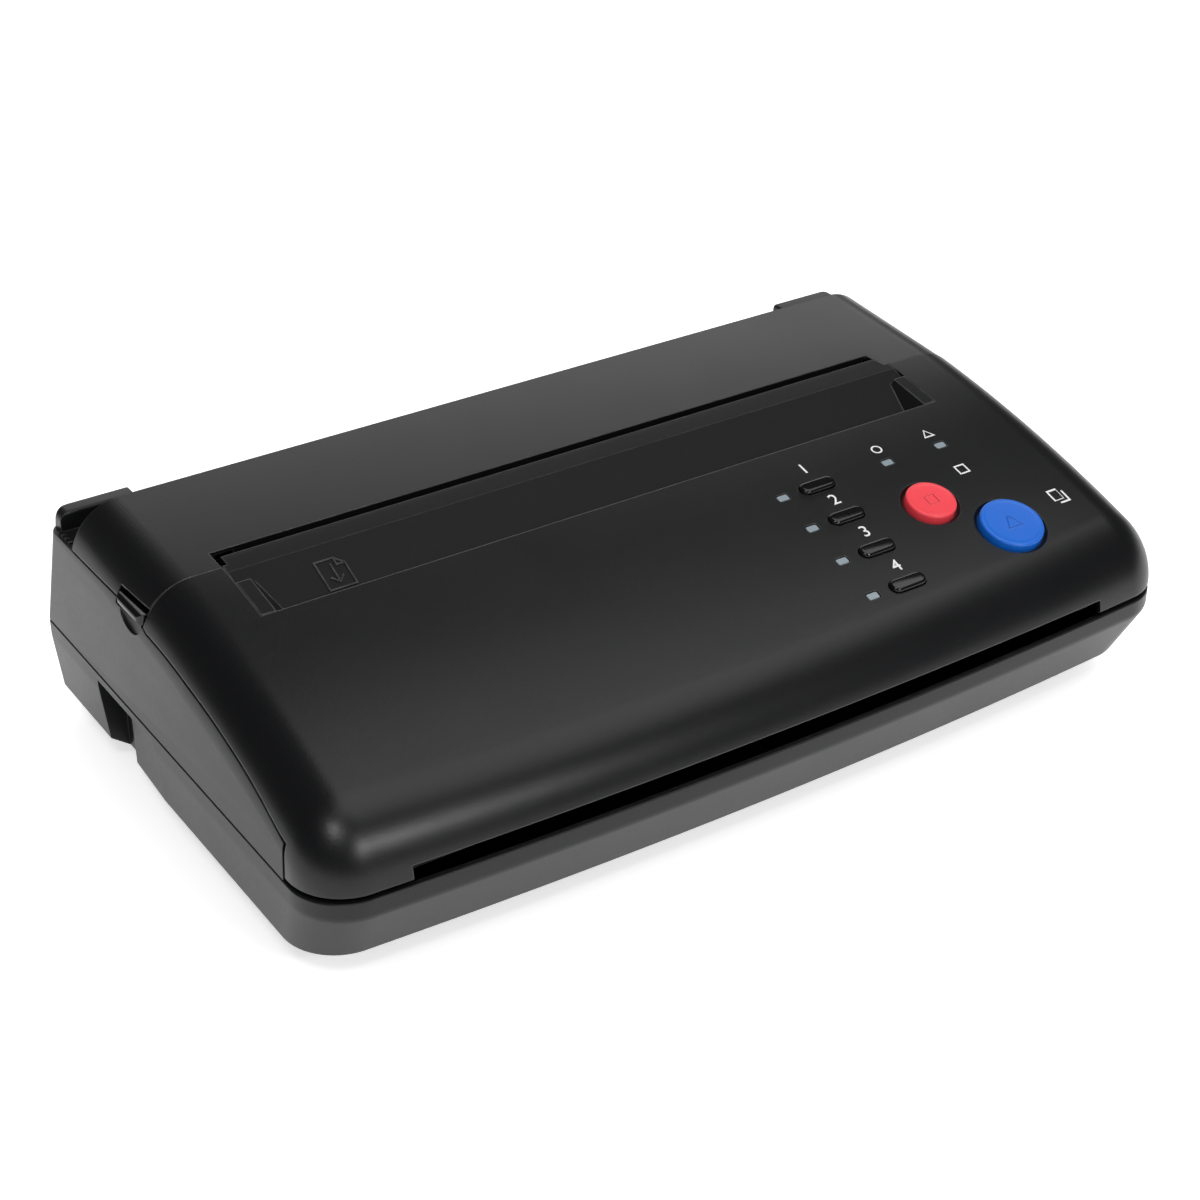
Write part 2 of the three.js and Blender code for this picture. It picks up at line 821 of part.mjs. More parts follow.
function base_shell() {
  const outer = base_solid(0, base_bottom, base_top);
  const hollow = base_solid(wall, base_bottom + wall, base_top + margin);
  const bay_top = base_top - cable_bay_lip;
  const bay_wall = cable_bay(wall, 0, bay_top + wall).intersect(outer);
  const bay = cable_bay(0, -margin, bay_top);
  const posts = [...board_posts(main_board), ...board_posts(supply_board), ...joint_posts()];
  const shell = join([outer.subtract(hollow), bay_wall, ...posts]);
  const stem = foot_radius / 3;
  const foot_holes = foot_places().map(([, x, y]) =>
    bar_z(stem + fit, 0, base_bottom + margin / 4, x, y, 10));
  return cut(shell, [bay, ...foot_holes, rear_window(inlet_x, inlet_width, inlet_height),
    rear_window(switch_x, switch_width, switch_height)]);
}

function foot(x, y) {
  const pad = bar_z(foot_radius, 0, foot_height, x, y, 20);
  return pad.add(bar_z(foot_radius / 3, 0, base_bottom + wall, x, y, 10));
}

// A board with its larger components
function loaded_board([left, right, front, rear], component_shares) {
  const long = right - left;
  const deep = rear - front;
  const blocks = component_shares.map(([x, y, w, d, h]) => {
    const cx = left + x * long;
    const cy = front + y * deep;
    const top = board_low + board + h * long;
    return box(cx - (w * long) / 2, cx + (w * long) / 2, cy - (d * deep) / 2, cy + (d * deep) / 2,
      board_low, top);
  });
  return join([box(left, right, front, rear, board_low, board_low + board), ...blocks]);
}

function inlet_socket() {
  const face = rear_y - fit;
  const low = socket_z - inlet_height / 2;
  const high = socket_z + inlet_height / 2;
  const body = box(inlet_x - inlet_width / 2, inlet_x + inlet_width / 2, face - inlet_length, face, low,
    high);
  const mouth = box(inlet_x - inlet_width / 2 + inlet_wall, inlet_x + inlet_width / 2 - inlet_wall,
    face - inlet_recess, face + margin, low + inlet_wall, high - inlet_wall);
  const pins = [-1, 1].map((side) => bar_y(inlet_pin_radius, face - inlet_length + inlet_wall,
    face - inlet_wall,
    inlet_x + (side * inlet_pin_pitch) / 2, socket_z, 12));
  return join([body.subtract(mouth), ...pins]);
}

function switch_body() {
  const face = rear_y - fit;
  const body = box(switch_x - switch_width / 2, switch_x + switch_width / 2, face - inlet_length, face,
    socket_z - switch_height / 2, socket_z + switch_height / 2);
  const reach = rocker_half_height + rocker_half_height / 6;
  const mouth = box(switch_x - rocker_half_width - fit, switch_x + rocker_half_width + fit,
    rocker_axis_y - rocker_root - rocker_middle / 2, face + margin, socket_z - reach, socket_z + reach);
  return body.subtract(mouth);
}

function power_rocker() {
  const points = [
    [-rocker_root, -rocker_half_height], [rocker_edge, -rocker_half_height], [rocker_middle, 0],
    [rocker_edge, rocker_half_height], [-rocker_root, rocker_half_height],
  ];
  const tilt = -rocker_tilt_share * Math.PI;
  const turned = points.map(([y, z]) => [
    rocker_axis_y + y * Math.cos(tilt) - z * Math.sin(tilt),
      socket_z + y * Math.sin(tilt) + z * Math.cos(tilt)]);
  return along_x(turned, switch_x - rocker_half_width, switch_x + rocker_half_width);
}

// Casing above the base

// Dimple under a latch lug, for a fingertip
function scoop(side, grow) {
  const geometry = new THREE.SphereGeometry(1, 20, 12);
  geometry.scale(scoop_depth + grow, scoop_half_length + grow, scoop_height + grow);
  return solid(geometry.translate(side * drawn_in(half, lug_low), lug_front_y + scoop_half_length, lug_low));
}

// Raised end of the casing's rear wall, which holds a hinge pin
function ear(side) {
  const low = cover_edge_z - ear_root;
  const outline = [
    [ear_inner_x, low], [ear_outer_x, low],
    ...arc(ear_outer_x - ear_corner, ear_top - ear_corner, ear_corner, 0, 0.5, 5),
    ...arc(ear_inner_x + ear_edge, ear_top - ear_edge, ear_edge, 0.5, 1, 3),
  ];
  const turned = side < 0 ? outline.map(([x, z]) => [-x, z]).reverse() : outline;
  const front_edge = arc(ear_front_y + ear_edge, ear_top - ear_edge, ear_edge, 1, 0.5, 3);
  const rounding = along_x([[ear_front_y, low], ...front_edge, [rear_y, ear_top], [rear_y, low]].reverse(),
    -half, half);
  return along_y(turned, ear_front_y, rear_y).intersect(rounding);
}

function ear_ledge(side) {
  const [left, right] = side < 0 ? [-half, -ear_inner_x] : [ear_inner_x, half];
  const top = cover_edge_z - seam_gap / 2;
  const plate = box(left, right, ledge_front_y, rear_y, top - wall, top);
  const inner = side < 0 ? left : ear_outer_x - fit;
  const outer = side < 0 ? -ear_outer_x + fit : right;
  const ribs = [];
  for (let y = crown_y + ledge_rib; y + ledge_rib < ear_front_y; y += ledge_rib_pitch / 2) {
    ribs.push(box(inner, outer, y, y + ledge_rib, top - wall / 2, top + ledge_rib));
  }
  return join([plate, ...ribs]).intersect(plan_block(wall / 2, casing_bottom, crown_height));
}

// The walls between the base and the cover, cut off along the side seam
function casing_walls(high) {
  const hollow = plan_block(wall, casing_bottom - fit, high + fit);
  const ring = plan_block(0, casing_bottom, high).subtract(hollow);
  const [first, ...line] = seam_line(fit, -seam_gap / 2);
  const start = first[0] + hinge_seam_gap;
  const under = casing_bottom - margin;
  const over = high + margin;
  const cheek = along_x([
    [start, under], [start, line[0][1] - hinge_seam_gap], ...line, [line[line.length - 1][0], over],
    [rear_y + margin, over], [rear_y + margin, under],
  ], -half - margin, half + margin);
  return ring.intersect(cheek);
}

// Room beside the latch arm for a lug
function lug_room(side, front, low, high) {
  const [left, right] = side < 0 ? [-half - margin, -latch_arm_x + fit] : [latch_arm_x - fit, half + margin];
  return box(left, right, front, lug_rear_y + wall / 3, low, high);
}

function casing() {
  const high = cover_edge_z - seam_gap / 2;
  const floor = plan_block(wall / 2, casing_bottom, casing_bottom + wall)
    .intersect(box(-half, half, floor_front_y, rear_y, 0, crown_height));
  const trim = plan_block(0, casing_bottom, lug_low - fit).intersect(
    box(-half, half, lug_front_y, rear_y, casing_bottom, crown_height));
  const scoops = mirror_x((side) => scoop(side, wall).intersect(trim));
  const ears = mirror_x(ear).map((piece) => piece.intersect(plan_block(0, casing_bottom, crown_height)));
  const whole = join([casing_walls(high), floor, ...scoops, ...ears, ...mirror_x(ear_ledge)]);
  const lug_rooms = mirror_x((side) => lug_room(side, lug_front_y - wall / 3, lug_low - fit, high + margin));
  const bore = hinge_pin_radius + fit;
  const bores = [
    bar_x(bore, -pin_outer_x - fit, fit - ear_inner_x, hinge_y, hinge_z, 16),
    bar_x(bore, ear_inner_x - fit, pin_outer_x + fit, hinge_y, hinge_z, 16),
  ];
  const barrel_end = arm_half_width + fit * 2;
  const barrel_room = box(-barrel_end, barrel_end, hinge_y - barrel_radius, rear_y + margin,
    hinge_z - barrel_radius - fit * 2, high + margin);
  const slot = box(path_left, path_right, rear_y - rear_lean - wall * 2, rear_y + margin,
    seam_height + rear_slot_rise, seam_height + rear_slot_rise + rear_slot_height);
  return cut(whole, [...mirror_x((side) => scoop(side, 0)), ...lug_rooms, ...bores, barrel_room, slot]);
}

// Document tray: a tongue level with the covers, then a floor that falls to the front
function tray_plan() {
  const left = path_left + fit;
  const right = path_right - fit;
  const notch = cover_seam_y + fit;
  return [
    [left, -half], [right, -half], [right, notch], [right - tongue_side_gap, notch],
    [right - tongue_side_gap * 2, tongue_rear_y], [left + tongue_side_gap, tongue_rear_y],
    [left + tongue_side_gap, notch], [left, notch],
  ];
}

function tray_profile() {
  const tongue = Array.from({ length: tongue_steps + 1 }, (_, i) => {
    const y = tongue_rear_y + ((tray_top_y - tongue_rear_y) * i) / tongue_steps;
    return [y, top_z(y)];
  });
  return [
    ...tongue, [tray_front_y, tray_z(tray_front_y)], [tray_front_y, tray_z(tray_front_y) - wall],
    [tray_top_y, tray_z(tray_top_y) - wall], [tongue_rear_y - wall, slot_mouth_z],
    [skirt_foot_y - wall, skirt_foot_z], [skirt_foot_y, skirt_foot_z], [tongue_rear_y, slot_mouth_z],
  ];
}

function fence(side) {
  const outer = side < 0 ? path_left + fit : path_right - fit;
  const ring = (y) => {
    const high = top_z(y) - tray_z(y);
    const inner = outer - side * fence_width;
    return [
      [outer, y, top_z(y)], [inner, y, top_z(y)],
      [inner - side * (high + wall / 2), y, tray_z(y) - wall / 2],
      [outer, y, tray_z(y) - wall / 2],
    ];
  };
  const rings = [ring(lip_y + fit), ring(fence_rear_y)];
  return loft(side < 0 ? rings : rings.reverse(), fan_cap);
}

function tray() {
  const plate = along_x(tray_profile(), -half, half).intersect(along_z(tray_plan(), 0,
    crown_height + margin));
  const rooms = [
    slope_block(-feed_half_length - wall, feed_half_length + wall, feed_y, feed_radius * 2, -wall * 2, wall),
    slope_block(path_left + pad_run, path_right - pad_run, sensor_y, sensor_bar_width + fit * 2, -wall * 2,
      wall),
    slope_block(-exit_half_length - wall, exit_half_length + wall, exit_y, exit_radius * 2 + fit,
      -wall * 2, wall),
  ];
  return cut(join([plate, fence(-1), fence(1)]), rooms);
}

// Side frames that carry the shafts: round the panel's pivot, up under the tray, over the keeper for the
// latch and under the platen's shaft, down to the casing's floor, and down again in front of the floor
function frame_outline() {
  const seat = platen_at[1] - shaft_radius - wall;
  const sole = casing_bottom + wall + fit;
  const keeper = keeper_shares.map(([y, z]) =>
    [hook_nose_y + hook_thickness * y, hook_low + hook_thickness * z]);
  const rear = spread_out(frame_rear_shares, rear_y);
  const front_low = seam_height - frame_drop;
  return [
    ...arc(panel_axis_y, panel_axis_z, panel_pin_radius + ledge / 2, 1.5, 0.5, 5),
    ...spread_out(frame_front_shares, front_y), ...keeper, [hook_nose_y + lug_height * 2, seat],
    [platen_at[0] + frame_seat_run, seat], ...rear,
    [rear[rear.length - 1][0], sole], [floor_front_y - ledge, sole],
    [floor_front_y - ledge, front_low], [panel_axis_y + panel_pin_radius * 2, front_low],
  ].reverse();
}

function frame_plate_at(left, right) {
  const plate = along_x(frame_outline(), left, right);
  const holes = [[feed_at, shaft_radius], [exit_at, thin_shaft_radius],
    [bracket_pivot_at, bracket_pin_radius]];
  return cut(plate, holes.map(([at, radius]) => bar_x(radius + fit, left - margin, right + margin, ...at,
    16)));
}

function left_frame() {
  const plate = frame_plate_at(-frame_outer, -frame_inner);
  const pins = studs.map(({ at }) => bar_x(stud_radius, gear_x - gear_width / 2 - wall / 2, -frame_inner,
    ...at, 16));
  const pivot = bar_x(panel_pin_radius, -frame_outer - panel_pin_reach, -frame_inner, panel_axis_y,
    panel_axis_z, 16);
  const motor_hole = bar_x(motor_shaft_radius + fit, -half, 0, ...motor_at, 16);
  return join([plate, ...pins, pivot]).subtract(motor_hole);
}

function right_frame() {
  const pivot = bar_x(panel_pin_radius, frame_inner, frame_outer + panel_pin_reach, panel_axis_y,
    panel_axis_z, 16);
  return frame_plate_at(frame_inner, frame_outer).add(pivot);
}

function motor() {
  const left = -frame_inner + fit;
  const body = bar_x(motor_radius, left, left + motor_length, ...motor_at, 28);
  const back = bar_x(motor_radius / 3, left, left + motor_length + wall, ...motor_at, 20);
  return body.add(back).subtract(bar_x(motor_shaft_radius + fit, left - margin, left + motor_length / 2,
    ...motor_at, 16));
}

function motor_pinion() {
  const shaft = bar_x(motor_shaft_radius, gear_x - gear_width / 2, -frame_inner + motor_length / 3,
    ...motor_at, 12);
  return gear_blank(pinion).add(shaft);
}

// Flanged pulley for the belt
function pulley(radius, at, bore) {
  const right = belt_left + belt_width;
  const groove = bar_x(radius, belt_left - fit, right + fit, ...at, 20);
  const flanges = [
    bar_x(radius + belt_thickness + pulley_flange, belt_left - fit - pulley_rim, belt_left - fit, ...at, 20),
    bar_x(radius + belt_thickness + pulley_flange, right + fit, right + fit + pulley_rim, ...at, 20),
  ];
  return join([groove, ...flanges]).subtract(bar_x(bore, -half, -frame_inner, ...at, 16));
}

// Loop round two pulleys, moved out by grow
function belt_outline(grow) {
  const [ay, az] = exit_at;
  const [by, bz] = feed_at;
  const near = exit_pulley_radius + grow;
  const far = feed_pulley_radius + grow;
  const apart = Math.hypot(by - ay, bz - az);
  const lean = Math.atan2(bz - az, by - ay) / Math.PI;
  const open = Math.acos((near - far) / apart) / Math.PI;
  return [...arc(ay, az, near, lean + open, lean + 2 - open, 8),
    ...arc(by, bz, far, lean - open, lean + open, 10)];
}

function drive_belt() {
  const right = belt_left + belt_width;
  const outer = along_x(belt_outline(fit + belt_thickness), belt_left, right);
  return outer.subtract(along_x(belt_outline(fit), belt_left - margin, right + margin));
}

function feed_gear_piece() {
  const bore = shaft_radius + fit;
  const hub = bar_x(pitch_radius(feed_teeth) / 2 + bore / 2, gear_x, belt_left, ...feed_at, 20)
    .subtract(bar_x(bore, -half, -frame_inner, ...feed_at, 16));
  return join([gear_with_bore(feed_gear, bore), hub, pulley(feed_pulley_radius, feed_at, bore)]);
}

function roller_sleeve(radius, core, left, right, at, sides = 28) {
  return bar_x(radius, left, right, ...at, sides).subtract(bar_x(core + fit, left - margin, right + margin,
    ...at, 16));
}

function shaft(radius, left, right, at) {
  return bar_x(radius, left, right, ...at, 16);
}

// Thermal head on its sprung bracket
function head_sink() {
  const low = -head_strip_thickness - fit * 2;
  return nip_block(-platen_half_length, platen_half_length, sink_start, sink_start + head_length,
    low - head_board, low);
}

function head_strip_piece() {
  return nip_block(-platen_half_length, platen_half_length, -head_strip / 2, head_strip / 2,
    -head_strip_thickness - fit, -fit);
}

function head_carrier() {
  const low = -head_strip_thickness - fit * 3 - head_board;
  const reach = frame_inner - fit;
  const plate = nip_block(-reach, reach, sink_start, bracket_tail, low - head_bracket, low);
  const out = low - head_bracket / 2;
  const shelf_z = bracket_ledge_low + ledge / 2;
  const along = (nip_z + out * Math.cos(nip_angle) - shelf_z) / Math.sin(nip_angle);
  const [tail_y] = at_nip(along, out);
  const shelf = box(-reach, reach, bracket_ledge_front, tail_y, bracket_ledge_low,
    bracket_ledge_low + ledge);
  const stub = bar_x(bracket_pin_radius, -frame_outer - fit, frame_outer + fit, ...bracket_pivot_at, 16);
  const ends = bar_x(bracket_pin_radius * 2, -reach, reach, ...bracket_pivot_at, 16);
  const room = box(-half, -frame_inner + motor_length + wall + fit * 2, -half,
    motor_at[0] + motor_radius + fit, 0,
    crown_height);
  const kept = join([plate, shelf]).subtract(room);
  return join([kept, stub, ends]);
}

class Coil extends THREE.Curve {
  constructor(radius, low, high, turns) {
    super();
    Object.assign(this, { radius, low, high, turns });
  }

  getPoint(share) {
    const turn = share * this.turns * 2 * Math.PI;
    return new THREE.Vector3(
      this.radius * Math.cos(turn), this.radius * Math.sin(turn), this.low + (this.high - this.low) * share);
  }
}

function head_spring(x) {
  const low = casing_bottom + wall + fit + spring_wire / 2;
  const high = bracket_ledge_low - fit - spring_wire / 2;
  const path = new Coil(spring_radius, low + spring_wire / 2, high - spring_wire / 2, spring_turns);
  const section = shape_of(arc(0, 0, spring_wire / 2, 0, 2 - 2 / spring_sides, spring_sides - 1));
  const geometry = new THREE.ExtrudeGeometry(section, {
    steps: spring_turns * spring_steps, bevelEnabled: false, extrudePath: path });
  return solid(geometry.translate(x, spring_y, 0));
}

function sensor_bar() {
  return slope_block(path_left + pad_run + fit, path_right - pad_run - fit, sensor_y, sensor_bar_width,
    -sensor_bar_height, -sensor_glass - fit);
}

function sensor_glass_piece() {
  return slope_block(path_left + pad_run + fit, path_right - pad_run - fit, sensor_y,
    sensor_bar_width - wall,
    -sensor_glass, 0);
}

// Rear cover

function cover_region() {
  const front = cover_seam_y + seam_gap / 2;
  return box(-half - margin, half + margin, front, crown_y, cover_edge_z + seam_gap / 2,
    crown_height + margin);
}

function ring_bracket(left, right, at, hole) {
  const ring = hole + bracket_ring;
  const [y, z] = at;
  const block = box(left, right, y - ring, y + ring, z,
    crown_height).add(bar_x(ring, left, right, y, z, 24));
  return block.intersect(pillow(wall / 2)).subtract(bar_x(hole, left - margin, right + margin, y, z));
}

function hinge_arm() {
  const inner = crown_y - wall;
  const points = [
    [inner, arm_top - arm_thickness], [hinge_y - barrel_radius / 2, hinge_z + barrel_radius / 3],
    [hinge_y, hinge_z + barrel_radius], [inner, arm_top],
  ];
  const plate = along_x(points, -arm_half_width, arm_half_width);
  return plate.add(bar_x(barrel_radius, -arm_half_width, arm_half_width, hinge_y, hinge_z));
}

// Guide behind the slot, which leads the sheet down to the rollers
function slot_guide() {
  const top = top_z(slot_rear_y) - wall / 2;
  const points = [
    [slot_rear_y, top], [slot_rear_y + wall, top], [slot_rear_y + wall, slot_mouth_z],
    [skirt_foot_y + wall * 2, skirt_foot_z + wall], [skirt_foot_y + wall, skirt_foot_z + wall],
    [slot_rear_y, slot_mouth_z],
  ];
  return along_x(points, -bracket_x, bracket_x);
}

function latch_boss(side) {
  const far = latch_boss_x + bracket;
  const [left, right] = side < 0 ? [-far, -latch_boss_x] : [latch_boss_x, far];
  return ring_bracket(left, right, [latch_y, latch_z], latch_radius + fit);
}

function rear_cover() {
  const shell = pillow(0).subtract(pillow(wall)).intersect(cover_region());
  const back = pillow(0).intersect(
    box(-half - margin, half + margin, crown_y - wall, crown_y, cover_edge_z + seam_gap / 2,
      crown_height + margin));
  const brackets = [
    ring_bracket(-bracket_x - bracket, -bracket_x, platen_at, bush_radius + fit),
    ring_bracket(bracket_x, bracket_x + bracket, platen_at, bush_radius + fit),
  ];
  const notch = along_z([
    [path_left, -half], [path_right - tongue_side_gap, -half], [path_right - tongue_side_gap, cover_seam_y],
    [path_right - tongue_side_gap * 2, slot_rear_y], [path_left, slot_rear_y],
  ], 0, crown_height + margin);
  const lug_rooms = mirror_x((side) => lug_room(side, cover_seam_y - wall, 0,
    lug_low + lug_height + lug_lift));
  const shell_cut = cut(join([shell, back]), [notch]);
  const whole = join([shell_cut, hinge_arm(), slot_guide(), ...brackets, ...mirror_x(latch_boss)]);
  const bores = [
    bar_x(hinge_pin_radius + fit, -half, half, hinge_y, hinge_z),
    bar_x(latch_radius + fit, -latch_arm_x - latch_arm - fit, latch_arm_x + latch_arm + fit, latch_y,
      latch_z, 16),
  ];
  return cut(whole, [...bores, ...lug_rooms]);
}

function bush(side) {
  const middle = side * (bracket_x + bracket / 2);
  return bar_x(bush_radius, middle - bush_width / 2, middle + bush_width / 2, ...platen_at)
    .subtract(bar_x(shaft_radius + fit, -half, half, ...platen_at, 16));
}

// Bar with rounded ends that a fingertip lifts
function latch_lug(side) {
  const nose_x = lug_outer_x - lug_height / 2;
  const plan = [
    [latch_arm_x, lug_front_y],
    ...arc(lug_outer_x - lug_corner, lug_front_y + lug_corner, lug_corner, 1.5, 2, 4),
    ...arc(lug_outer_x - lug_corner, lug_rear_y - lug_corner, lug_corner, 0, 0.5, 4),
    [latch_arm_x, lug_rear_y],
  ];
  const section = [
    [latch_arm_x, lug_low], ...arc(nose_x, lug_low + lug_height / 2, lug_height / 2, -0.5, 0.5, 8),
    [latch_arm_x, lug_low + lug_height],
  ];
  const turned = (points) => (side < 0 ? points.map(([x, other]) => [-x, other]).reverse() : points);
  return along_z(turned(plan), lug_low, lug_low + lug_height)
    .intersect(along_y(turned(section), lug_front_y, lug_rear_y));
}

function latch_hook(left, right) {
  return along_x([
    [latch_y, latch_z], [hook_front_y, hook_low + hook_thickness], [hook_front_y, hook_low],
    [hook_nose_y - fit, hook_low], [hook_nose_y - fit, hook_low + hook_thickness / 2],
    [hook_front_y + hook_thickness, hook_low + hook_thickness], [latch_y, latch_z - latch_radius],
  ], left, right);
}

function latch_bar() {
  const rod = bar_x(latch_radius, -latch_arm_x - latch_arm, latch_arm_x + latch_arm, latch_y, latch_z, 16);
  const sides = mirror_x((side) => {
    const place = (near, far) => (side < 0 ? [-far, -near] : [near, far]);
    const [arm_left, arm_right] = place(latch_arm_x, latch_arm_x + latch_arm);
    const arm = box(arm_left, arm_right, latch_y - latch_radius, latch_y + latch_radius, lug_low, latch_z);
    return join([arm, latch_lug(side), latch_hook(...place(frame_inner, frame_outer + frame_plate))]);
  });
  return join([rod, ...sides]);
}

// Front panel

function panel_region() {
  const line = seam_line(0, seam_gap / 2);
  const start = line[0][0];
  const rear = cover_seam_y - seam_gap / 2;
  return along_x([
    [front_y - margin, panel_bottom], [start, panel_bottom], ...line, [rear, cover_edge_z + seam_gap],
    [rear, crown_height + margin], [front_y - margin, crown_height + margin],
  ], -half - margin, half + margin);
}

function on_panel([x, y]) {
  return [path_right * x, lip_y + (front_y - lip_y) * y];
}

const [, key_first_y] = on_panel([key_x_share, key_first_share]);
const [, key_last_y] = on_panel([key_x_share, key_last_share]);
const [stop_x, stop_y] = on_panel(stop_shares);
const [copy_x, copy_y] = on_panel(copy_shares);

function key_places() {
  const pitch = (key_last_y - key_first_y) / (key_count - 1);
  return Array.from({ length: key_count }, (_, i) => [key_x, key_first_y + pitch * i]);
}

function lamp_places() {
  const column = key_places().map(([, y], i) => [`lamp_${i + 1}`, lamp_x, y]);
  const ready_at = on_panel(ready_lamp_shares);
  const alert_at = on_panel(alert_lamp_shares);
  return [...column, ["ready_lamp", ...ready_at], ["alert_lamp", ...alert_at]];
}

function stadium(long, wide) {
  const radius = wide / 2;
  const reach = long / 2 - radius;
  return [...arc(reach, 0, radius, -0.5, 0.5, 4), ...arc(-reach, 0, radius, 0.5, 1.5, 4)];
}

// Upright stadium on the panel, between two depths
function panel_stadium([x, y], long, wide, low, high) {
  const outline = shape_of(stadium(long, wide));
  const geometry = new THREE.ExtrudeGeometry(outline, { depth: high - low, bevelEnabled: false });
  return placed(geometry.translate(0, 0, low), on_top(x, y));
}

function panel_disc(x, y, radius, low, high, sides = 30) {
  const geometry = new THREE.CylinderGeometry(radius, radius, high - low, sides);
  geometry.rotateX(Math.PI / 2).translate(0, 0, (low + high) / 2);
  return placed(geometry, on_top(x, y));
}

function panel_lug(side) {
  const near = frame_outer + fit * 2;
  const far = frame_outer + panel_pin_reach - fit;
  const [left, right] = side < 0 ? [-far, -near] : [near, far];
  const reach = box(left, right, front_y + wall, panel_axis_y, panel_axis_z - panel_lug_radius,
    panel_axis_z + panel_lug_radius);
  const ring = bar_x(panel_lug_radius, left, right, panel_axis_y, panel_axis_z);
  return reach.add(ring).intersect(pillow(wall / 2));
}

function inner_bracket(left) {
  const right = left + bracket_ring;
  const ring = thin_shaft_radius + fit + inner_ring;
  const lugs = [backing_at, pinch_at].map(([y, z]) => {
    const block = box(left, right, y - ring, y + ring, z, crown_height);
    return block.add(bar_x(ring, left, right, y, z));
  });
  return join(lugs).intersect(pillow(wall / 2));
}

function front_panel() {
  const shell = pillow(0).subtract(pillow(wall)).intersect(panel_region());
  const brackets = [inner_bracket(inner_bracket_left), inner_bracket(inner_bracket_right)];
  const bevelled = stacked([
    [full_plan(lip_bevel), panel_bottom], [full_plan(0), panel_bottom + lip_bevel],
    [full_plan(0), crown_height + margin],
  ]);
  const whole = join([shell, ...mirror_x(panel_lug), ...brackets]).intersect(bevelled);
  const tray_room = box(path_left, path_right, lip_y, cover_seam_y + margin, 0, crown_height + margin);
  const slot = box(path_left, path_right, front_y - margin, panel_axis_y + wall, 0,
    seam_height + exit_slot_height);
  const pin_end = frame_outer + panel_pin_reach + fit;
  const pin_hole = bar_x(panel_pin_radius + fit, -pin_end, pin_end, panel_axis_y, panel_axis_z);
  const flat_y = lip_y - lip_flat;
  const relief_y = lip_y - lip_relief;
  const relief = along_x([
    [lip_y + wall, tray_z(lip_y)], [lip_y + wall, top_z(lip_y) - lip_thickness],
    [flat_y, top_z(flat_y) - lip_thickness], [relief_y, top_z(relief_y) - wall - fit],
    [relief_y, tray_z(relief_y)],
  ], path_left, path_right);
  const bore = thin_shaft_radius + fit;
  const shaft_reach = half - margin / 2;
  const shaft_holes = [backing_at, pinch_at].map((at) => bar_x(bore, -shaft_reach, shaft_reach, ...at, 16));
  const through = margin / 4;
  const keys = key_places().map((place) =>
    panel_stadium(place, key_length + fit * 2, key_width + fit * 2, -through, through));
  const lamps = lamp_places().map(([, x, y]) =>
    panel_stadium([x, y], lamp_length + fit * 2, lamp_width + fit * 2, -through, through));
  const rounds = [[stop_x, stop_y, stop_radius], [copy_x, copy_y, copy_radius]];
  const buttons = rounds.flatMap(([x, y, radius]) => [
    panel_disc(x, y, radius + fit, -through, through),
    panel_disc(x, y, radius + button_ring, -button_ring_depth, through),
  ]);
  return cut(whole, [tray_room, slot, relief, pin_hole, ...shaft_holes, ...keys, ...lamps, ...buttons]);
}

function key_piece(place) {
  const seat = -wall - fit * 2;
  const cap = panel_stadium(place, key_length, key_width, seat - flange / 2, key_proud);
  const skirt = panel_stadium(place, key_length + flange * 2, key_width + flange * 2, seat - flange, seat);
  return cap.add(skirt);
}

function button_piece(x, y, radius) {
  const crown = button_proud * button_crown_share;
  const low = -wall - fit * 2 - flange / 2;
  const points = [
    [0, low], [radius, low], [radius, button_proud - crown],
    [radius - crown / 2, button_proud - crown / 3], [radius - crown * 2, button_proud], [0, button_proud],
  ];
  const profile = points.map(([r, z]) => new THREE.Vector2(r, z));
  const cap = placed(new THREE.LatheGeometry(profile, 30).rotateX(Math.PI / 2), on_top(x, y));
  const skirt = panel_disc(x, y, radius + flange, -wall - fit * 2 - flange, -wall - fit * 2);
  return cap.add(skirt);
}

function lamp_piece(x, y) {
  return panel_stadium([x, y], lamp_length, lamp_width, -key_board_depth + fit, 0);
}

function key_board() {
  const middle_y = (key_first_y + key_last_y) / 2;
  const left = lamp_x - lamp_length;
  const right = inner_bracket_right - bracket_ring;
  const geometry = new THREE.BoxGeometry(right - left, key_first_y - key_last_y + key_width * 2, board);
  geometry.translate(0, 0, -key_board_depth - board / 2 - fit * 2);
  return placed(geometry, on_top((left + right) / 2, middle_y));
}

function separation_pad() {
  const [y, z] = over_tray(feed_y, roller_proud + pad_clearance);
  const front = y - pad_run / 2;
  const rear = y + pad_run / 2;
  const fall = (tray_slope * pad_run) / 2;
  const points = [
    [front, z - fall], [rear, z + fall],
    [rear, top_z(rear) - wall - fit * 2], [front, top_z(front) - wall - fit * 2],
  ];
  return along_x(points, -pad_half_width, pad_half_width);
}

const group = new THREE.Group();

function add(name, piece, finish) {
  const { vertProperties, triVerts } = piece.getMesh();
  const geometry = new THREE.BufferGeometry();
  geometry.setAttribute("position", new THREE.BufferAttribute(new Float32Array(vertProperties), 3));
  geometry.setIndex(new THREE.BufferAttribute(new Uint32Array(triVerts), 1));
  geometry.computeVertexNormals();
  const [color, roughness, metalness] = finishes[finish];
  const mesh = new THREE.Mesh(geometry, new THREE.MeshStandardMaterial({ color, roughness, metalness }));
  mesh.name = name;
  group.add(mesh);
}

add("base_shell", base_shell(), "casing");
for (const [name, x, y] of foot_places()) add(`foot_${name}`, foot(x, y), "rubber");
add("main_board", loaded_board(main_board, main_component_shares), "board");
add("supply_board", loaded_board(supply_board, supply_component_shares), "board");
add("inlet_socket", inlet_socket(), "socket");
add("switch_body", switch_body(), "socket");
add("power_rocker", power_rocker(), "key");

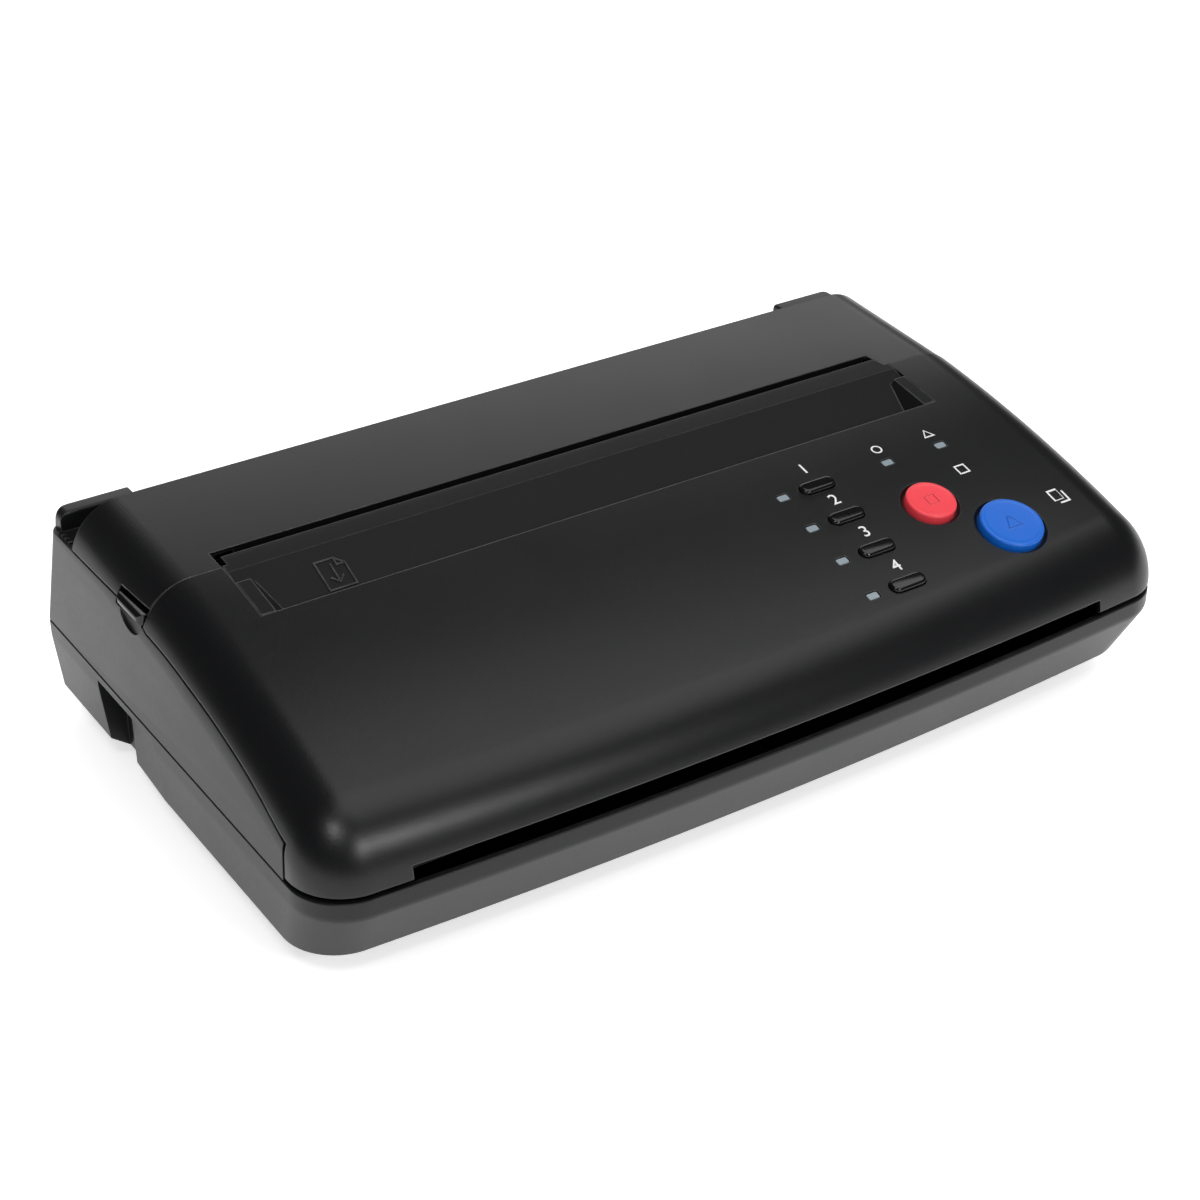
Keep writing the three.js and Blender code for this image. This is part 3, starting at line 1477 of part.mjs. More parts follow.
add("casing", casing(), "casing");
add("document_tray", tray(), "tray");
add("left_frame", left_frame(), "steel");
add("right_frame", right_frame(), "steel");
add("motor", motor(), "steel");
add("motor_pinion", motor_pinion(), "gear");
add("lift_idler", gear_with_bore(lift_idler, stud_radius + fit), "gear");
add("feed_idler", gear_with_bore(feed_idler, stud_radius + fit), "gear");
const shaft_left = gear_x - gear_width / 2 - wall / 2;
const shaft_right = frame_outer + wall;
add("feed_shaft", shaft(shaft_radius, shaft_left, shaft_right, feed_at), "steel");
add("feed_sleeve", roller_sleeve(feed_radius, shaft_radius, -feed_half_length, feed_half_length, feed_at),
  "rubber");
add("feed_gear", feed_gear_piece(), "gear");
add("drive_belt", drive_belt(), "rubber");
add("exit_shaft", shaft(thin_shaft_radius, belt_left - wall, shaft_right, exit_at), "steel");
add("exit_sleeve", roller_sleeve(exit_radius, thin_shaft_radius, -exit_half_length, exit_half_length,
  exit_at), "rubber");
add("exit_pulley", pulley(exit_pulley_radius, exit_at, thin_shaft_radius + fit), "gear");
add("sensor_bar", sensor_bar(), "socket");
add("sensor_glass", sensor_glass_piece(), "glass");
add("head_sink", head_sink(), "aluminium");
add("head_strip", head_strip_piece(), "ceramic");
add("head_bracket", head_carrier(), "steel");
add("head_spring_left", head_spring(-spring_x), "steel");
add("head_spring_right", head_spring(spring_x), "steel");
add("hinge_pin_left", shaft(hinge_pin_radius, -pin_outer_x, -pin_inner_x, [hinge_y, hinge_z]), "steel");
add("hinge_pin_right", shaft(hinge_pin_radius, pin_inner_x, pin_outer_x, [hinge_y, hinge_z]), "steel");

add("rear_cover", rear_cover(), "cover");
add("platen_shaft", shaft(shaft_radius, shaft_left, bracket_x + bracket + wall, platen_at), "steel");
add("platen_sleeve", roller_sleeve(platen_radius, shaft_radius, -platen_half_length, platen_half_length,
  platen_at),
  "rubber");
add("platen_gear", gear_with_bore(platen_gear, shaft_radius + fit), "gear");
add("bush_left", bush(-1), "gear");
add("bush_right", bush(1), "gear");
add("latch_bar", latch_bar(), "key");

add("front_panel", front_panel(), "panel");
key_places().forEach((place, i) => add(`mode_key_${i + 1}`, key_piece(place), "key"));
add("stop_button", button_piece(stop_x, stop_y, stop_radius), "stop");
add("copy_button", button_piece(copy_x, copy_y, copy_radius), "copy");
for (const [name, x, y] of lamp_places()) add(name, lamp_piece(x, y), "lamp");
add("key_board", key_board(), "board");
add("separation_pad", separation_pad(), "rubber");
const inner_left = inner_bracket_left - wall;
const inner_right = inner_bracket_right + bracket_ring + wall;
add("backing_shaft", shaft(thin_shaft_radius, inner_left, inner_right, backing_at), "steel");
add("backing_sleeve", roller_sleeve(backing_radius, thin_shaft_radius, path_left + pad_run,
  path_right - pad_run,
  backing_at), "white");
const pinch_core = shaft(thin_shaft_radius, inner_left, inner_right, pinch_at);
add("pinch_roller", pinch_core.add(shaft(pinch_radius, -exit_half_length, exit_half_length, pinch_at)),
  "white");

export default group;
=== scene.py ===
# %% [markdown]
# A desk-top thermal copier for stencils. The imported model gives every piece its true place and size, so this
# lesson starts by loading it.

# %% Load the frame
import bmesh
import bpy
import json
import math
from mathutils import Matrix, Vector


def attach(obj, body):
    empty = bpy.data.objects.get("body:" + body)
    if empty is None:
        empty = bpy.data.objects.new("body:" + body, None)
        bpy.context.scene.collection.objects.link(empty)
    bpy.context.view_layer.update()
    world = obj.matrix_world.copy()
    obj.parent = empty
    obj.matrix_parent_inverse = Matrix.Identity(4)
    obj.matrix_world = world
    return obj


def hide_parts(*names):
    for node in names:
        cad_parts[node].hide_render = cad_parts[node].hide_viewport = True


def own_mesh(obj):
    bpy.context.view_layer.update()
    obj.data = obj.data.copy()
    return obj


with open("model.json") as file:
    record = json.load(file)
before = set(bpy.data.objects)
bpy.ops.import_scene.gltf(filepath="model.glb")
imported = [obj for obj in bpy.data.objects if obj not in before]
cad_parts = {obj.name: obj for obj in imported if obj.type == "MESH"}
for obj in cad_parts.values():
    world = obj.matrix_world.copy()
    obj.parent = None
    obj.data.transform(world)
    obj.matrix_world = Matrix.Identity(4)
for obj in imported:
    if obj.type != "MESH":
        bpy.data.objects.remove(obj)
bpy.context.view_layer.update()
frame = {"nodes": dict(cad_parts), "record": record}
nodes = frame["nodes"]
MM = 0.001

# %% [markdown]
# The camera stands where the photographer's stood, in front of the machine's left corner and about 31 degrees up.
# Its place and its lens come from a fit to the machine's outline, so the shift is only a slight move of the frame.

# %% Camera
def add_object(name, data):
    made = bpy.data.objects.new(name, data)
    bpy.context.scene.collection.objects.link(made)
    return made


def aim(place, target): return (Vector(target) - Vector(place)).to_track_quat("-Z", "Y").to_euler()


def look_from(place, target, lens, shift):
    camera = add_object("camera", bpy.data.cameras.new("camera"))
    camera.location = Vector(place) * MM
    camera.rotation_euler = aim(place, target)
    camera.data.lens = lens
    camera.data.sensor_width = 36
    camera.data.shift_x, camera.data.shift_y = shift
    camera.data.clip_start = 0.01
    bpy.context.scene.camera = camera
    return camera


camera = look_from((-409.4, -611.4, 481.3), (0, 2.9, 40), 71.2, (-0.0115, 0.0010))
print("camera at", [round(n, 3) for n in camera.location], "metres")

# %% [markdown]
# A socket of a shader is easier to read as a number. This class wraps one, so that 1 - mask or edge * 0.4 adds the
# Math nodes itself. Any other node comes from one method of the finish that it belongs to.

# %% Shader maths
class Value:
    def __init__(self, finish, socket):
        self.finish = finish
        self.socket = socket

    def math(self, operation, first, second):
        return self.finish.node("Math", {"operation": operation}, {0: first, 1: second})

    def __add__(self, other): return self.math("ADD", self, other)
    def __radd__(self, other): return self.math("ADD", other, self)
    def __sub__(self, other): return self.math("SUBTRACT", self, other)
    def __rsub__(self, other): return self.math("SUBTRACT", other, self)
    def __mul__(self, other): return self.math("MULTIPLY", self, other)
    def __rmul__(self, other): return self.math("MULTIPLY", other, self)


class Finish:
    def __init__(self, name, tree=None):
        self.material = None if tree else bpy.data.materials.new(name)
        if self.material:
            self.material.use_nodes = True
        self.tree = tree or self.material.node_tree
        self.tree.nodes.clear()

    def node(self, kind, settings=None, sockets=None, output=0):
        made = self.tree.nodes.new("ShaderNode" + kind)
        for key, value in (settings or {}).items():
            setattr(made, key, value)
        for key, value in (sockets or {}).items():
            if isinstance(value, Value):
                self.tree.links.new(value.socket, made.inputs[key])
            else:
                made.inputs[key].default_value = value
        return Value(self, made.outputs[output]) if made.outputs else made

    def mix(self, factor, first, second):
        first, second = [c if isinstance(c, Value) else (*c, 1) for c in (first, second)]
        return self.node("Mix", {"data_type": "RGBA"}, {0: factor, 6: first, 7: second}, output=2)

    def place(self):
        return self.node("TexCoord", output=3)

    def rays(self, *kinds):
        path = self.tree.nodes.new("ShaderNodeLightPath")
        return [Value(self, path.outputs[f"Is {kind} Ray"]) for kind in kinds]

    def noise(self, scale, detail=2.0, rough=0.5, where=None):
        return self.node("TexNoise", {}, {
            "Vector": where or self.place(), "Scale": scale, "Detail": detail, "Roughness": rough})

    def span(self, value, low, high, new_low=0.0, new_high=1.0):
        return self.node("MapRange", {"clamp": True}, {0: value, 1: low, 2: high, 3: new_low, 4: new_high})

    def surface(self, shader):
        return self.node("OutputMaterial", {}, {"Surface": shader})


# %% [markdown]
# The studio is a pale floor under plain soft light. The floor looks white to the camera and in reflections, yet its
# own colour still takes the machine's shadow, because only a part of what the camera sees there is light of its own.

# %% Floor and world
FLOOR_COLOUR = (0.86, 0.86, 0.86)
FLOOR_GLOW, FLOOR_WHITE = 0.43, 0.14
WORLD_LEVEL = 0.58
BACKDROP_TOP, BACKDROP_FADE, CEILING_LEVEL = 0.0, 0.06, 0.07


def seen_rays(finish):
    camera_ray, glossy, through = finish.rays("Camera", "Glossy", "Transmission")
    return camera_ray, finish.node("Clamp", {}, {0: camera_ray + glossy + through})


def make_floor(reach=12.0):
    mesh = bpy.data.meshes.new("floor")
    corners = [(-reach, -reach, 0), (reach, -reach, 0), (reach, reach, 0), (-reach, reach, 0)]
    mesh.from_pydata(corners, [], [(0, 1, 2, 3)])
    floor = add_object("floor", mesh)
    finish = Finish("studio_floor")
    camera_ray, seen = seen_rays(finish)
    paper = finish.node("BsdfDiffuse", {}, {"Color": (*FLOOR_COLOUR, 1)})
    glow = finish.node("Emission", {}, {
        "Color": (1, 1, 1, 1), "Strength": seen * FLOOR_GLOW + camera_ray * FLOOR_WHITE})
    finish.surface(finish.node("AddShader", {}, {0: paper, 1: glow}))
    mesh.materials.append(finish.material)


def make_world():
    world = bpy.data.worlds.new("studio")
    world.use_nodes = True
    bpy.context.scene.world = world
    finish = Finish("studio", world.node_tree)
    camera_ray, seen = seen_rays(finish)
    direction = finish.node("TexCoord", output=0)
    height = finish.node("SeparateXYZ", {}, {0: direction}, output=2)
    backdrop = finish.span(height, BACKDROP_TOP, BACKDROP_TOP + BACKDROP_FADE, 1.0, CEILING_LEVEL)
    level = seen * backdrop + (1 - seen) * WORLD_LEVEL
    level = camera_ray + (1 - camera_ray) * level
    sky = finish.node("Background", {}, {"Color": (1, 1, 1, 1), "Strength": level})
    finish.node("OutputWorld", {}, {"Surface": sky})


make_floor()
make_world()
print("floor and world made")

# %% [markdown]
# Four soft lamps stand round the machine, as in a product photograph. Two small ones in front give the gleam along the
# rolled front edge and on its corner. Two wide ones, over the right half and low behind it, give the arched tops grey.

# %% Lamps
def soft_lamp(name, place, size, power):
    lamp = add_object(name, bpy.data.lights.new(name, "AREA"))
    lamp.data.shape = "RECTANGLE"
    lamp.data.size, lamp.data.size_y = size
    lamp.data.energy = power
    lamp.location = place
    lamp.rotation_euler = aim(place, (0, 0, 0))


soft_lamp("lamp_front", (0.18, -1.46, 0.85), (0.45, 0.16), 6.5)
soft_lamp("lamp_left", (-0.66, -0.82, 1.34), (0.4, 0.25), 4.5)
soft_lamp("lamp_over", (0.45, -0.2, 1.4), (1.25, 1.15), 7.7)
soft_lamp("lamp_rear", (0.75, 1.45, 0.85), (1.6, 0.7), 5)

# %% [markdown]
# Most of the machine is moulded plastic with a fine spark-eroded grain. A photograph of plastic could be wrapped
# round it, but noise needs no seams. Two noises give a small bump, the sheen varies a little over the surface, and a
# Bevel node rounds the edges for the light. The edges are also painted paler, a painted highlight broken up by
# noise. The steel has fine lines along its length.

# %% Plastic
finishes = {}


def moulded(name, colour, rough, grain=0.5, grain_scale=1700, edge=0.0004, edge_highlight_level=0.5, specular=0.4,
            crease=(0.985, 0.82)):
    finish = Finish(name)
    rounded = finish.node("Bevel", {"samples": 6}, {"Radius": edge})
    flat = finish.node("NewGeometry", {}, output=1)
    turn = finish.node("VectorMath", {"operation": "DOT_PRODUCT"}, {0: rounded, 1: flat}, output=1)
    patches = finish.noise(26, 3, 0.6)
    # Painted highlight: the edges are painted paler, broken up by noise, as if light gleamed along them.
    highlight_breakup = finish.span(finish.noise(180, 4, 0.7), 0.35, 0.7)
    painted_edge_highlight = finish.span(turn, *crease) * (0.45 + 0.55 * highlight_breakup) * edge_highlight_level
    fine = finish.noise(grain_scale, 2, 0.6)
    coarse = finish.noise(grain_scale * 0.35, 2, 0.5)
    # The colour of the painted highlight: the finish lifted towards pale grey.
    highlight_colour = tuple(min(1.0, c * 1.3 + 0.12) for c in colour)
    shade = finish.mix(patches * 0.5, tuple(c * 0.9 for c in colour), tuple(c * 1.12 for c in colour))
    bumped = finish.node("Bump", {}, {
        "Strength": grain, "Distance": 0.00008, "Height": fine * 0.7 + coarse * 0.3, "Normal": rounded})
    finish.surface(finish.node("BsdfPrincipled", {}, {
        "Base Color": finish.mix(painted_edge_highlight, shade, highlight_colour),
        "Roughness": rough + (patches - 0.5) * 0.07 + (coarse - 0.5) * 0.06 - painted_edge_highlight * 0.1,
        "Specular IOR Level": specular, "Normal": bumped}))
    finishes[name] = finish.material


def steel(name, colour, rough, run=(1, 40, 40), strength=0.12):
    finish = Finish(name)
    stretched = finish.node("VectorMath", {"operation": "MULTIPLY"}, {0: finish.place(), 1: run})
    lines = finish.noise(60, 3, 0.6, stretched)
    cloud = finish.noise(70, 3, 0.6)
    bumped = finish.node("Bump", {}, {"Strength": strength, "Distance": 0.0001, "Height": lines})
    finish.surface(finish.node("BsdfPrincipled", {}, {
        "Base Color": finish.mix(cloud, tuple(c * 0.88 for c in colour), colour), "Metallic": 1.0,
        "Roughness": rough + (lines - 0.5) * 0.18 + (cloud - 0.5) * 0.1, "Normal": bumped}))
    finishes[name] = finish.material


# Each finish below sets how strongly its edges are painted paler, a painted highlight along them.
moulded("case_black", (0.0064, 0.0066, 0.0071), 0.37, specular=0.37)
moulded("cover_black", (0.0034, 0.0036, 0.0044), 0.32, edge=0.0006, edge_highlight_level=0.9)
moulded("tray_black", (0.0042, 0.0044, 0.0052), 0.48, edge=0.0006, edge_highlight_level=0.8, specular=0.2, crease=(0.998, 0.984))
moulded("key_black", (0.002, 0.002, 0.0024), 0.14, grain=0.06, edge_highlight_level=0.1, specular=0.5)
moulded("socket_black", (0.012, 0.012, 0.012), 0.5)
moulded("stop_red", (0.82, 0.055, 0.074), 0.3, grain=0.08)
moulded("copy_blue", (0.006, 0.122, 0.567), 0.3, grain=0.08)
moulded("lamp_grey", (0.238, 0.287, 0.318), 0.25, grain=0.05)
moulded("foot_rubber", (0.02, 0.02, 0.02), 0.75)
moulded("roller_rubber", (0.022, 0.022, 0.023), 0.7, grain=0.4)
moulded("roller_white", (0.74, 0.74, 0.71), 0.5)
moulded("gear_plastic", (0.72, 0.68, 0.58), 0.45)
moulded("head_ceramic", (0.62, 0.6, 0.54), 0.2, grain=0.05)
moulded("board_green", (0.007, 0.05, 0.02), 0.35, grain=0.2, grain_scale=900)
steel("frame_steel", (0.55, 0.56, 0.57), 0.38)
steel("shaft_steel", (0.62, 0.62, 0.63), 0.25)
steel("head_aluminium", (0.66, 0.67, 0.68), 0.35)
moulded("sensor_glass", (0.25, 0.32, 0.33), 0.06, grain=0.0)
moulded("print_white", (0.78, 0.78, 0.78), 0.5, grain=0.05, edge_highlight_level=0.0)
slots = {row["node"]: row["material_slot"] for row in frame["record"]["subparts"]}
riders = {node: name for name, members in frame["record"]["behaviour"]["bodies"].items() for node in members}


def paint(made, slot):
    made.data.materials.clear()
    made.data.materials.append(finishes[slot])


for name, node in nodes.items():
    paint(node, slots[name])
print("finishes", len(finishes), "on", len(nodes), "nodes")

# %% [markdown]
# The shells of the case follow a few shared outlines. The same named sizes give the plan, the arch of the covers and
# the way the walls lean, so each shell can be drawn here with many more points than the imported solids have. All
# lengths are in millimetres. The last line's places lie well outside the case, for bodies that cut right through it.

# %% Sizes of the case
HALF, FRONT, REAR, CROWN_HEIGHT = 175.0, -106.9, 106.0, 96.0
WALL, FIT, SEAM, MARGIN = 2.2, 0.3, 0.6, 40.0
CORNER, BOW, ROLL = 20.0, 4.8, 19.0
REAR_LEAN, SIDE_DRAFT = 7.0, 2.0
CROWN_Y, ARCH_RUN, ARCH_FALL, ARCH_LEAN = 77.75, 183.75, 33.764, 3.289
SEAM_HEIGHT, EDGE_HEIGHT = 40.1, 80.3
BASE_TOP, CASING_LOW = SEAM_HEIGHT - 0.35, SEAM_HEIGHT + FIT / 2
BASE_LOW, CREASE = 2.5, 33.4
SEAM_Y = 20.5
PATH_LEFT, PATH_RIGHT = -142.7, 138.7
TONGUE_REAR, TRAY_TOP, LIP_Y, TRAY_FRONT = 26.0, 16.9, -7.7, -96.5
PANEL_LOW = BASE_TOP + 1.5
BESIDE, BEFORE, BEHIND, ABOVE = HALF + MARGIN, FRONT - MARGIN, REAR + MARGIN, CROWN_HEIGHT + MARGIN
print("case", 2 * HALF, "x", REAR - FRONT, "x", CROWN_HEIGHT, "mm")

# %% [markdown]
# Every outline is a list of points, and most of them have rounded corners. In the plan the front bows out a little
# and its corners have a radius of 20 mm. Above the base the sides draw in by 2 mm and the rear leans forward by 7 mm.

# %% Outlines
def arc(cx, cy, radius, start, end, steps):
    turns = [math.pi * (start + (end - start) * i / steps) for i in range(steps + 1)]
    return [(cx + radius * math.cos(t), cy + radius * math.sin(t)) for t in turns]


def circle(cx, cy, radius, sides): return arc(cx, cy, radius, 0, 2 - 2 / sides, sides - 1)


def front_plan(inset, side=HALF, front=FRONT, steps=16, spans=40):
    reach = side - CORNER
    centre = front + BOW + CORNER
    xs = [reach * (2 * (i + 1) / spans - 1) for i in range(spans - 1)]
    middle = [(x, front + BOW * (x / reach) ** 2 + inset) for x in xs]
    left = arc(-reach, centre, CORNER - inset, 1, 1.5, steps)
    return left + middle + arc(reach, centre, CORNER - inset, 1.5, 2, steps)


def full_plan(inset, side=HALF, front=FRONT, rear=REAR, corner=2.0, steps=8):
    radius = max(corner - inset, FIT)
    cx, cy = side - inset - radius, rear - inset - radius
    return front_plan(inset, side, front) + arc(cx, cy, radius, 0, 0.5, steps) + arc(-cx, cy, radius, 0.5, 1, steps)


def rise(z): return (z - SEAM_HEIGHT) / (EDGE_HEIGHT - SEAM_HEIGHT)
def drawn_in(x, z): return x * (1 - SIDE_DRAFT * rise(z) / HALF)


def wall_plan(inset, z):
    plan = full_plan(inset, rear=REAR - REAR_LEAN * rise(z), corner=2 + 5 * rise(z))
    return [(drawn_in(x, z), y, z) for x, y in plan]


def top_z(y):
    back = (CROWN_Y - y) / ARCH_RUN
    return CROWN_HEIGHT - ARCH_LEAN * back - ARCH_FALL * back ** 2


def top_slope(y): return (ARCH_LEAN + 2 * ARCH_FALL * (CROWN_Y - y) / ARCH_RUN) / ARCH_RUN
def tray_z(y): return top_z(TRAY_TOP) - TRAY_SLOPE * (TRAY_TOP - y)


TRAY_SLOPE = (top_z(TRAY_TOP) - SEAM_HEIGHT - 3.16) / (TRAY_TOP - TRAY_FRONT)
print("covers at the front edge", round(top_z(FRONT), 2), "mm, tray falls", round(TRAY_SLOPE, 3), "per mm")

# %% [markdown]
# A shell is carved like clay: bodies are joined, cut and trimmed by one another. Blender does this with the Boolean
# modifier, and its Manifold solver is quick and leaves clean closed meshes. Each helper here takes bodies, uses them
# up and returns one new body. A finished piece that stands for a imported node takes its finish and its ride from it.

# %% Bodies that can be joined and cut
def body(points, faces):
    mesh = bpy.data.meshes.new("body")
    mesh.from_pydata([Vector(p) * MM for p in points], [], faces)
    tidy = bmesh.new()
    tidy.from_mesh(mesh)
    bmesh.ops.recalc_face_normals(tidy, faces=tidy.faces)
    tidy.to_mesh(mesh)
    tidy.free()
    return add_object("body", mesh)


def settled(made): return bpy.data.meshes.new_from_object(made.evaluated_get(bpy.context.evaluated_depsgraph_get()))


def combine(operation, first, others):
    for other in others:
        step = first.modifiers.new(operation, "BOOLEAN")
        step.operation, step.solver, step.object = operation, "MANIFOLD", other
    result = settled(first)
    first.modifiers.clear()
    old, first.data = first.data, result
    bpy.data.meshes.remove(old)
    for other in others:
        bpy.data.meshes.remove(other.data)
    return first


def join(*bodies): return combine("UNION", bodies[0], bodies[1:])
def cut(first, *others): return combine("DIFFERENCE", first, others)
def within(first, *others): return combine("INTERSECT", first, others)


def prism(axis, outline, low, high):
    place = {"x": lambda a, b, c: (c, a, b), "y": lambda a, b, c: (a, c, b), "z": lambda a, b, c: (a, b, c)}[axis]
    n = len(outline)
    points = [place(a, b, level) for level in (low, high) for a, b in outline]
    sides = [(i, (i + 1) % n, n + (i + 1) % n, n + i) for i in range(n)]
    return body(points, sides + [tuple(range(n)), tuple(range(n, 2 * n))])


def box(left, right, front, rear, low, high):
    return prism("z", [(left, front), (right, front), (right, rear), (left, rear)], low, high)


def bar(axis, radius, low, high, a, b, sides=48):
    return prism(axis, circle(a, b, radius, sides), low, high)


def span_x(side, inner, outer): return (inner, outer) if side > 0 else (-outer, -inner)


def mates(n):
    strips = [(i, i + 1, n - 2 - i, n - 1 - i) for i in range((n - 1) // 2)]
    return [tuple(dict.fromkeys(strip)) for strip in strips]


def loft(rings, caps=None):
    n = len(rings[0])
    points = [p for ring in rings for p in ring]
    faces = [(r * n + i, r * n + (i + 1) % n, (r + 1) * n + (i + 1) % n, (r + 1) * n + i)
             for r in range(len(rings) - 1) for i in range(n)]
    last = (len(rings) - 1) * n
    ends = caps or [tuple(range(n))]
    return body(points, faces + ends + [tuple(last + i for i in face) for face in ends])


def finish_piece(name, made, bodyname, slot, stands_for=None, sharp=24):
    made.name = made.data.name = name
    made.data.shade_smooth()
    made.data.set_sharp_from_angle(angle=math.radians(sharp))
    paint(made, slot)
    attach(made, bodyname)
    if stands_for:
        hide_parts(stands_for)
    print(name, len(made.data.polygons), "faces")
    return made


def stand_in(node, made, sharp=24):
    return finish_piece(node + "_fine", made, riders[node], slots[node], node, sharp)


# %% [markdown]
# The covers are one long pillow: its sides are upright, its edges roll over with a radius of 19 mm, and its top is a
# gentle arch. A subdivided box would give such a form by eye. A loft of rings, first up the wall and then inwards
# over the roll, keeps to the sizes. The rear cover and the front panel are both cut from it, so they meet in one
# surface.

# %% The pillow and the walls
def pillow(inset, rolls=20, spacing=3.0):
    start = front_plan(inset)[0][1]
    count = math.ceil((BEHIND - start) / spacing)
    stations = [BEHIND + (start - BEHIND) * i / count for i in range(count)]
    roll = ROLL - inset

    def ring(distance, drop):
        side = HALF - distance
        plan = [(-side, y) for y in stations] + front_plan(distance) + [(side, y) for y in reversed(stations)]
        heights = [0 if drop is None else top_z(y) - drop for _, y in plan]
        return [(drawn_in(x, z), y, z) for (x, y), z in zip(plan, heights)]

    turns = [math.pi / 2 * i / rolls for i in range(rolls + 1)]
    rings = [ring(inset, None)]
    rings += [ring(inset + roll * (1 - math.cos(t)), inset + roll * (1 - math.sin(t))) for t in turns]
    return loft(rings, mates(len(rings[0])))


def wall_block(inset, low, high, steps=4):
    return loft([wall_plan(inset, low + (high - low) * i / steps) for i in range(steps + 1)])


print("the roll over the sides starts", round(top_z(0) - ROLL, 1), "mm up in the middle of the case")

# %% [markdown]
# The base is a low tray. A narrow upright band runs round its top, and under a crease the wall leans in to a lower
# edge, from which the sole goes in further to the four feet. The crease is softly rounded, so it is drawn with a few
# rings that ease from one slope to the other. The same loft, a wall smaller, hollows it. The left side has a bay for
# cables, the rear wall has windows for the mains inlet and the switch, and posts carry the boards and the casing.

# %% Base shell
SOLE_IN, LOW_EDGE, LEAN_SIDE, LEAN_FRONT = (14.0, 24.0, 3.0), 11.6, 2.2, 11.8
BAY_FRONT, BAY_REAR = 17, 62.3
BOARDS = {"supply_board": (-150, -62, 24, 84), "main_board": (-40, 130, -55, 50)}
BOARD_IN, POST_TOP = 7, 11.4
SOCKET_AT, SWITCH_AT, MAINS_Z = -120, -85, 21
STEM, STEM_HOLE = 2.33, 2.64


def base_solid(inset, low, high, ease=1.4):
    rows = [(*SOLE_IN, low), (LEAN_SIDE, LEAN_FRONT, 0.0, LOW_EDGE)]
    for z in [CREASE - ease + 2 * ease * i / 6 for i in range(7)]:
        share = (CREASE + ease - z) ** 2 / (4 * ease) / (CREASE - LOW_EDGE)
        rows.append((LEAN_SIDE * share, LEAN_FRONT * share, 0.0, z))
    rows += [(0.0, 0.0, 0.0, high - 0.35), (0.35, 0.35, 0.35, high)]
    return loft([[(x, y, z) for x, y in full_plan(inset, HALF - side, FRONT + front, REAR - rear)]
                 for side, front, rear, z in rows])


def cable_bay(grow, low, high):
    outer, wall, inner = -BESIDE, -HALF + LEAN_SIDE + grow, -HALF + 9 + grow
    return prism("z", [(outer, BAY_FRONT - grow), (wall, BAY_FRONT - grow), (wall + 2.4, 46), (inner, 52.5 - grow),
                       (inner, BAY_REAR + grow), (outer, BAY_REAR + grow)], low, high)


def rear_window(x, wide, high):
    return box(x - wide / 2 - FIT, x + wide / 2 + FIT, REAR - 20, BEHIND,
               MAINS_Z - high / 2 - FIT, MAINS_Z + high / 2 + FIT)


FEET = {"foot_front_left": (-141, -55.4), "foot_front_right": (141, -55.4),
        "foot_rear_left": (-141, 80), "foot_rear_right": (141, 80)}


def base_shell():
    posts = [(x, y, 3, POST_TOP) for left, right, front, rear in BOARDS.values()
             for x in (left + BOARD_IN, right - BOARD_IN) for y in (front + BOARD_IN, rear - BOARD_IN)]
    posts += [(x, y, 4, BASE_TOP) for x in (-150, 150) for y in (-25, 92)]
    bay_top = BASE_TOP - 3
    shell = cut(base_solid(0, BASE_LOW, BASE_TOP), base_solid(WALL, BASE_LOW + WALL, BASE_TOP + MARGIN))
    bay_wall = within(cable_bay(WALL, 0, bay_top + WALL), base_solid(0, BASE_LOW, BASE_TOP))
    shell = join(shell, bay_wall, *[bar("z", r, BASE_LOW + WALL / 2, top, x, y) for x, y, r, top in posts])
    return cut(shell, cable_bay(0, -MARGIN, bay_top), rear_window(SOCKET_AT, 24, 14), rear_window(SWITCH_AT, 14, 20),
               *[bar("z", STEM_HOLE, 0, 12.5, x, y) for x, y in FEET.values()])


stand_in("base_shell", base_shell())

# %% [markdown]
# Each foot is a rubber button with a rounded lower rim and a short stem pressed into the sole. A turned outline gives
# it: points of half a section, spun round the upright axis.

# %% Feet
def turned(outline, x, y, sides=64):
    return loft([[(a, b, z) for a, b in circle(x, y, radius, sides)] for radius, z in outline])


FOOT_R, FOOT_RIM, FOOT_TOP = 7, 0.8, 2.2
for name, at in FEET.items():
    rim = arc(FOOT_R - FOOT_RIM, FOOT_RIM, FOOT_RIM, -0.5, 0, 5)[1:]
    stem = [(FOOT_R, FOOT_TOP), (STEM, FOOT_TOP), (STEM, FOOT_TOP + 2.5)]
    stand_in(name, turned([(5.4, 0.35), (5.9, 0)] + rim + stem, *at))

# %% [markdown]
# The casing is the upright wall between the base and the covers. Its upper edge follows the seam, which falls in a
# long curve to the front. The seam is a smooth line through a few points, and it trims both the casing and the
# panel, so the gap between them is even. At the rear are two raised ears for the hinge's pins, a ledge with small
# ribs in front of each, and under each lug of the latch a dimple for a fingertip, which is part of an ellipsoid.

# %% Casing
SEAM_LINE = [(-80.7, 54.2), (-76.5, 55.4), (-65.5, 59.8), (-53.5, 64.0), (-41.0, 67.5), (-28.0, 70.6),
             (-12.0, 73.6), (4.0, 76.1), (17.8, 77.4), (20.196, 78.3), (20.196, 80.298)]
LAST_CURVED = 8
EAR_INNER, EAR_OUTER, EAR_FRONT, EAR_TOP = 142, 170.5, 91.9, 87
LUG_INNER, LUG_FRONT, LUG_REAR, LUG_LOW, LUG_HIGH = 163.5, 21.1, 40.1, 78.3, 82.3
HINGE_AT, PIN_HOLE, BARREL, BARREL_X = (94.5, 80.6), 1.6, 3.3, 138
EXIT_LOW, EXIT_HIGH = 46.5, 54.5


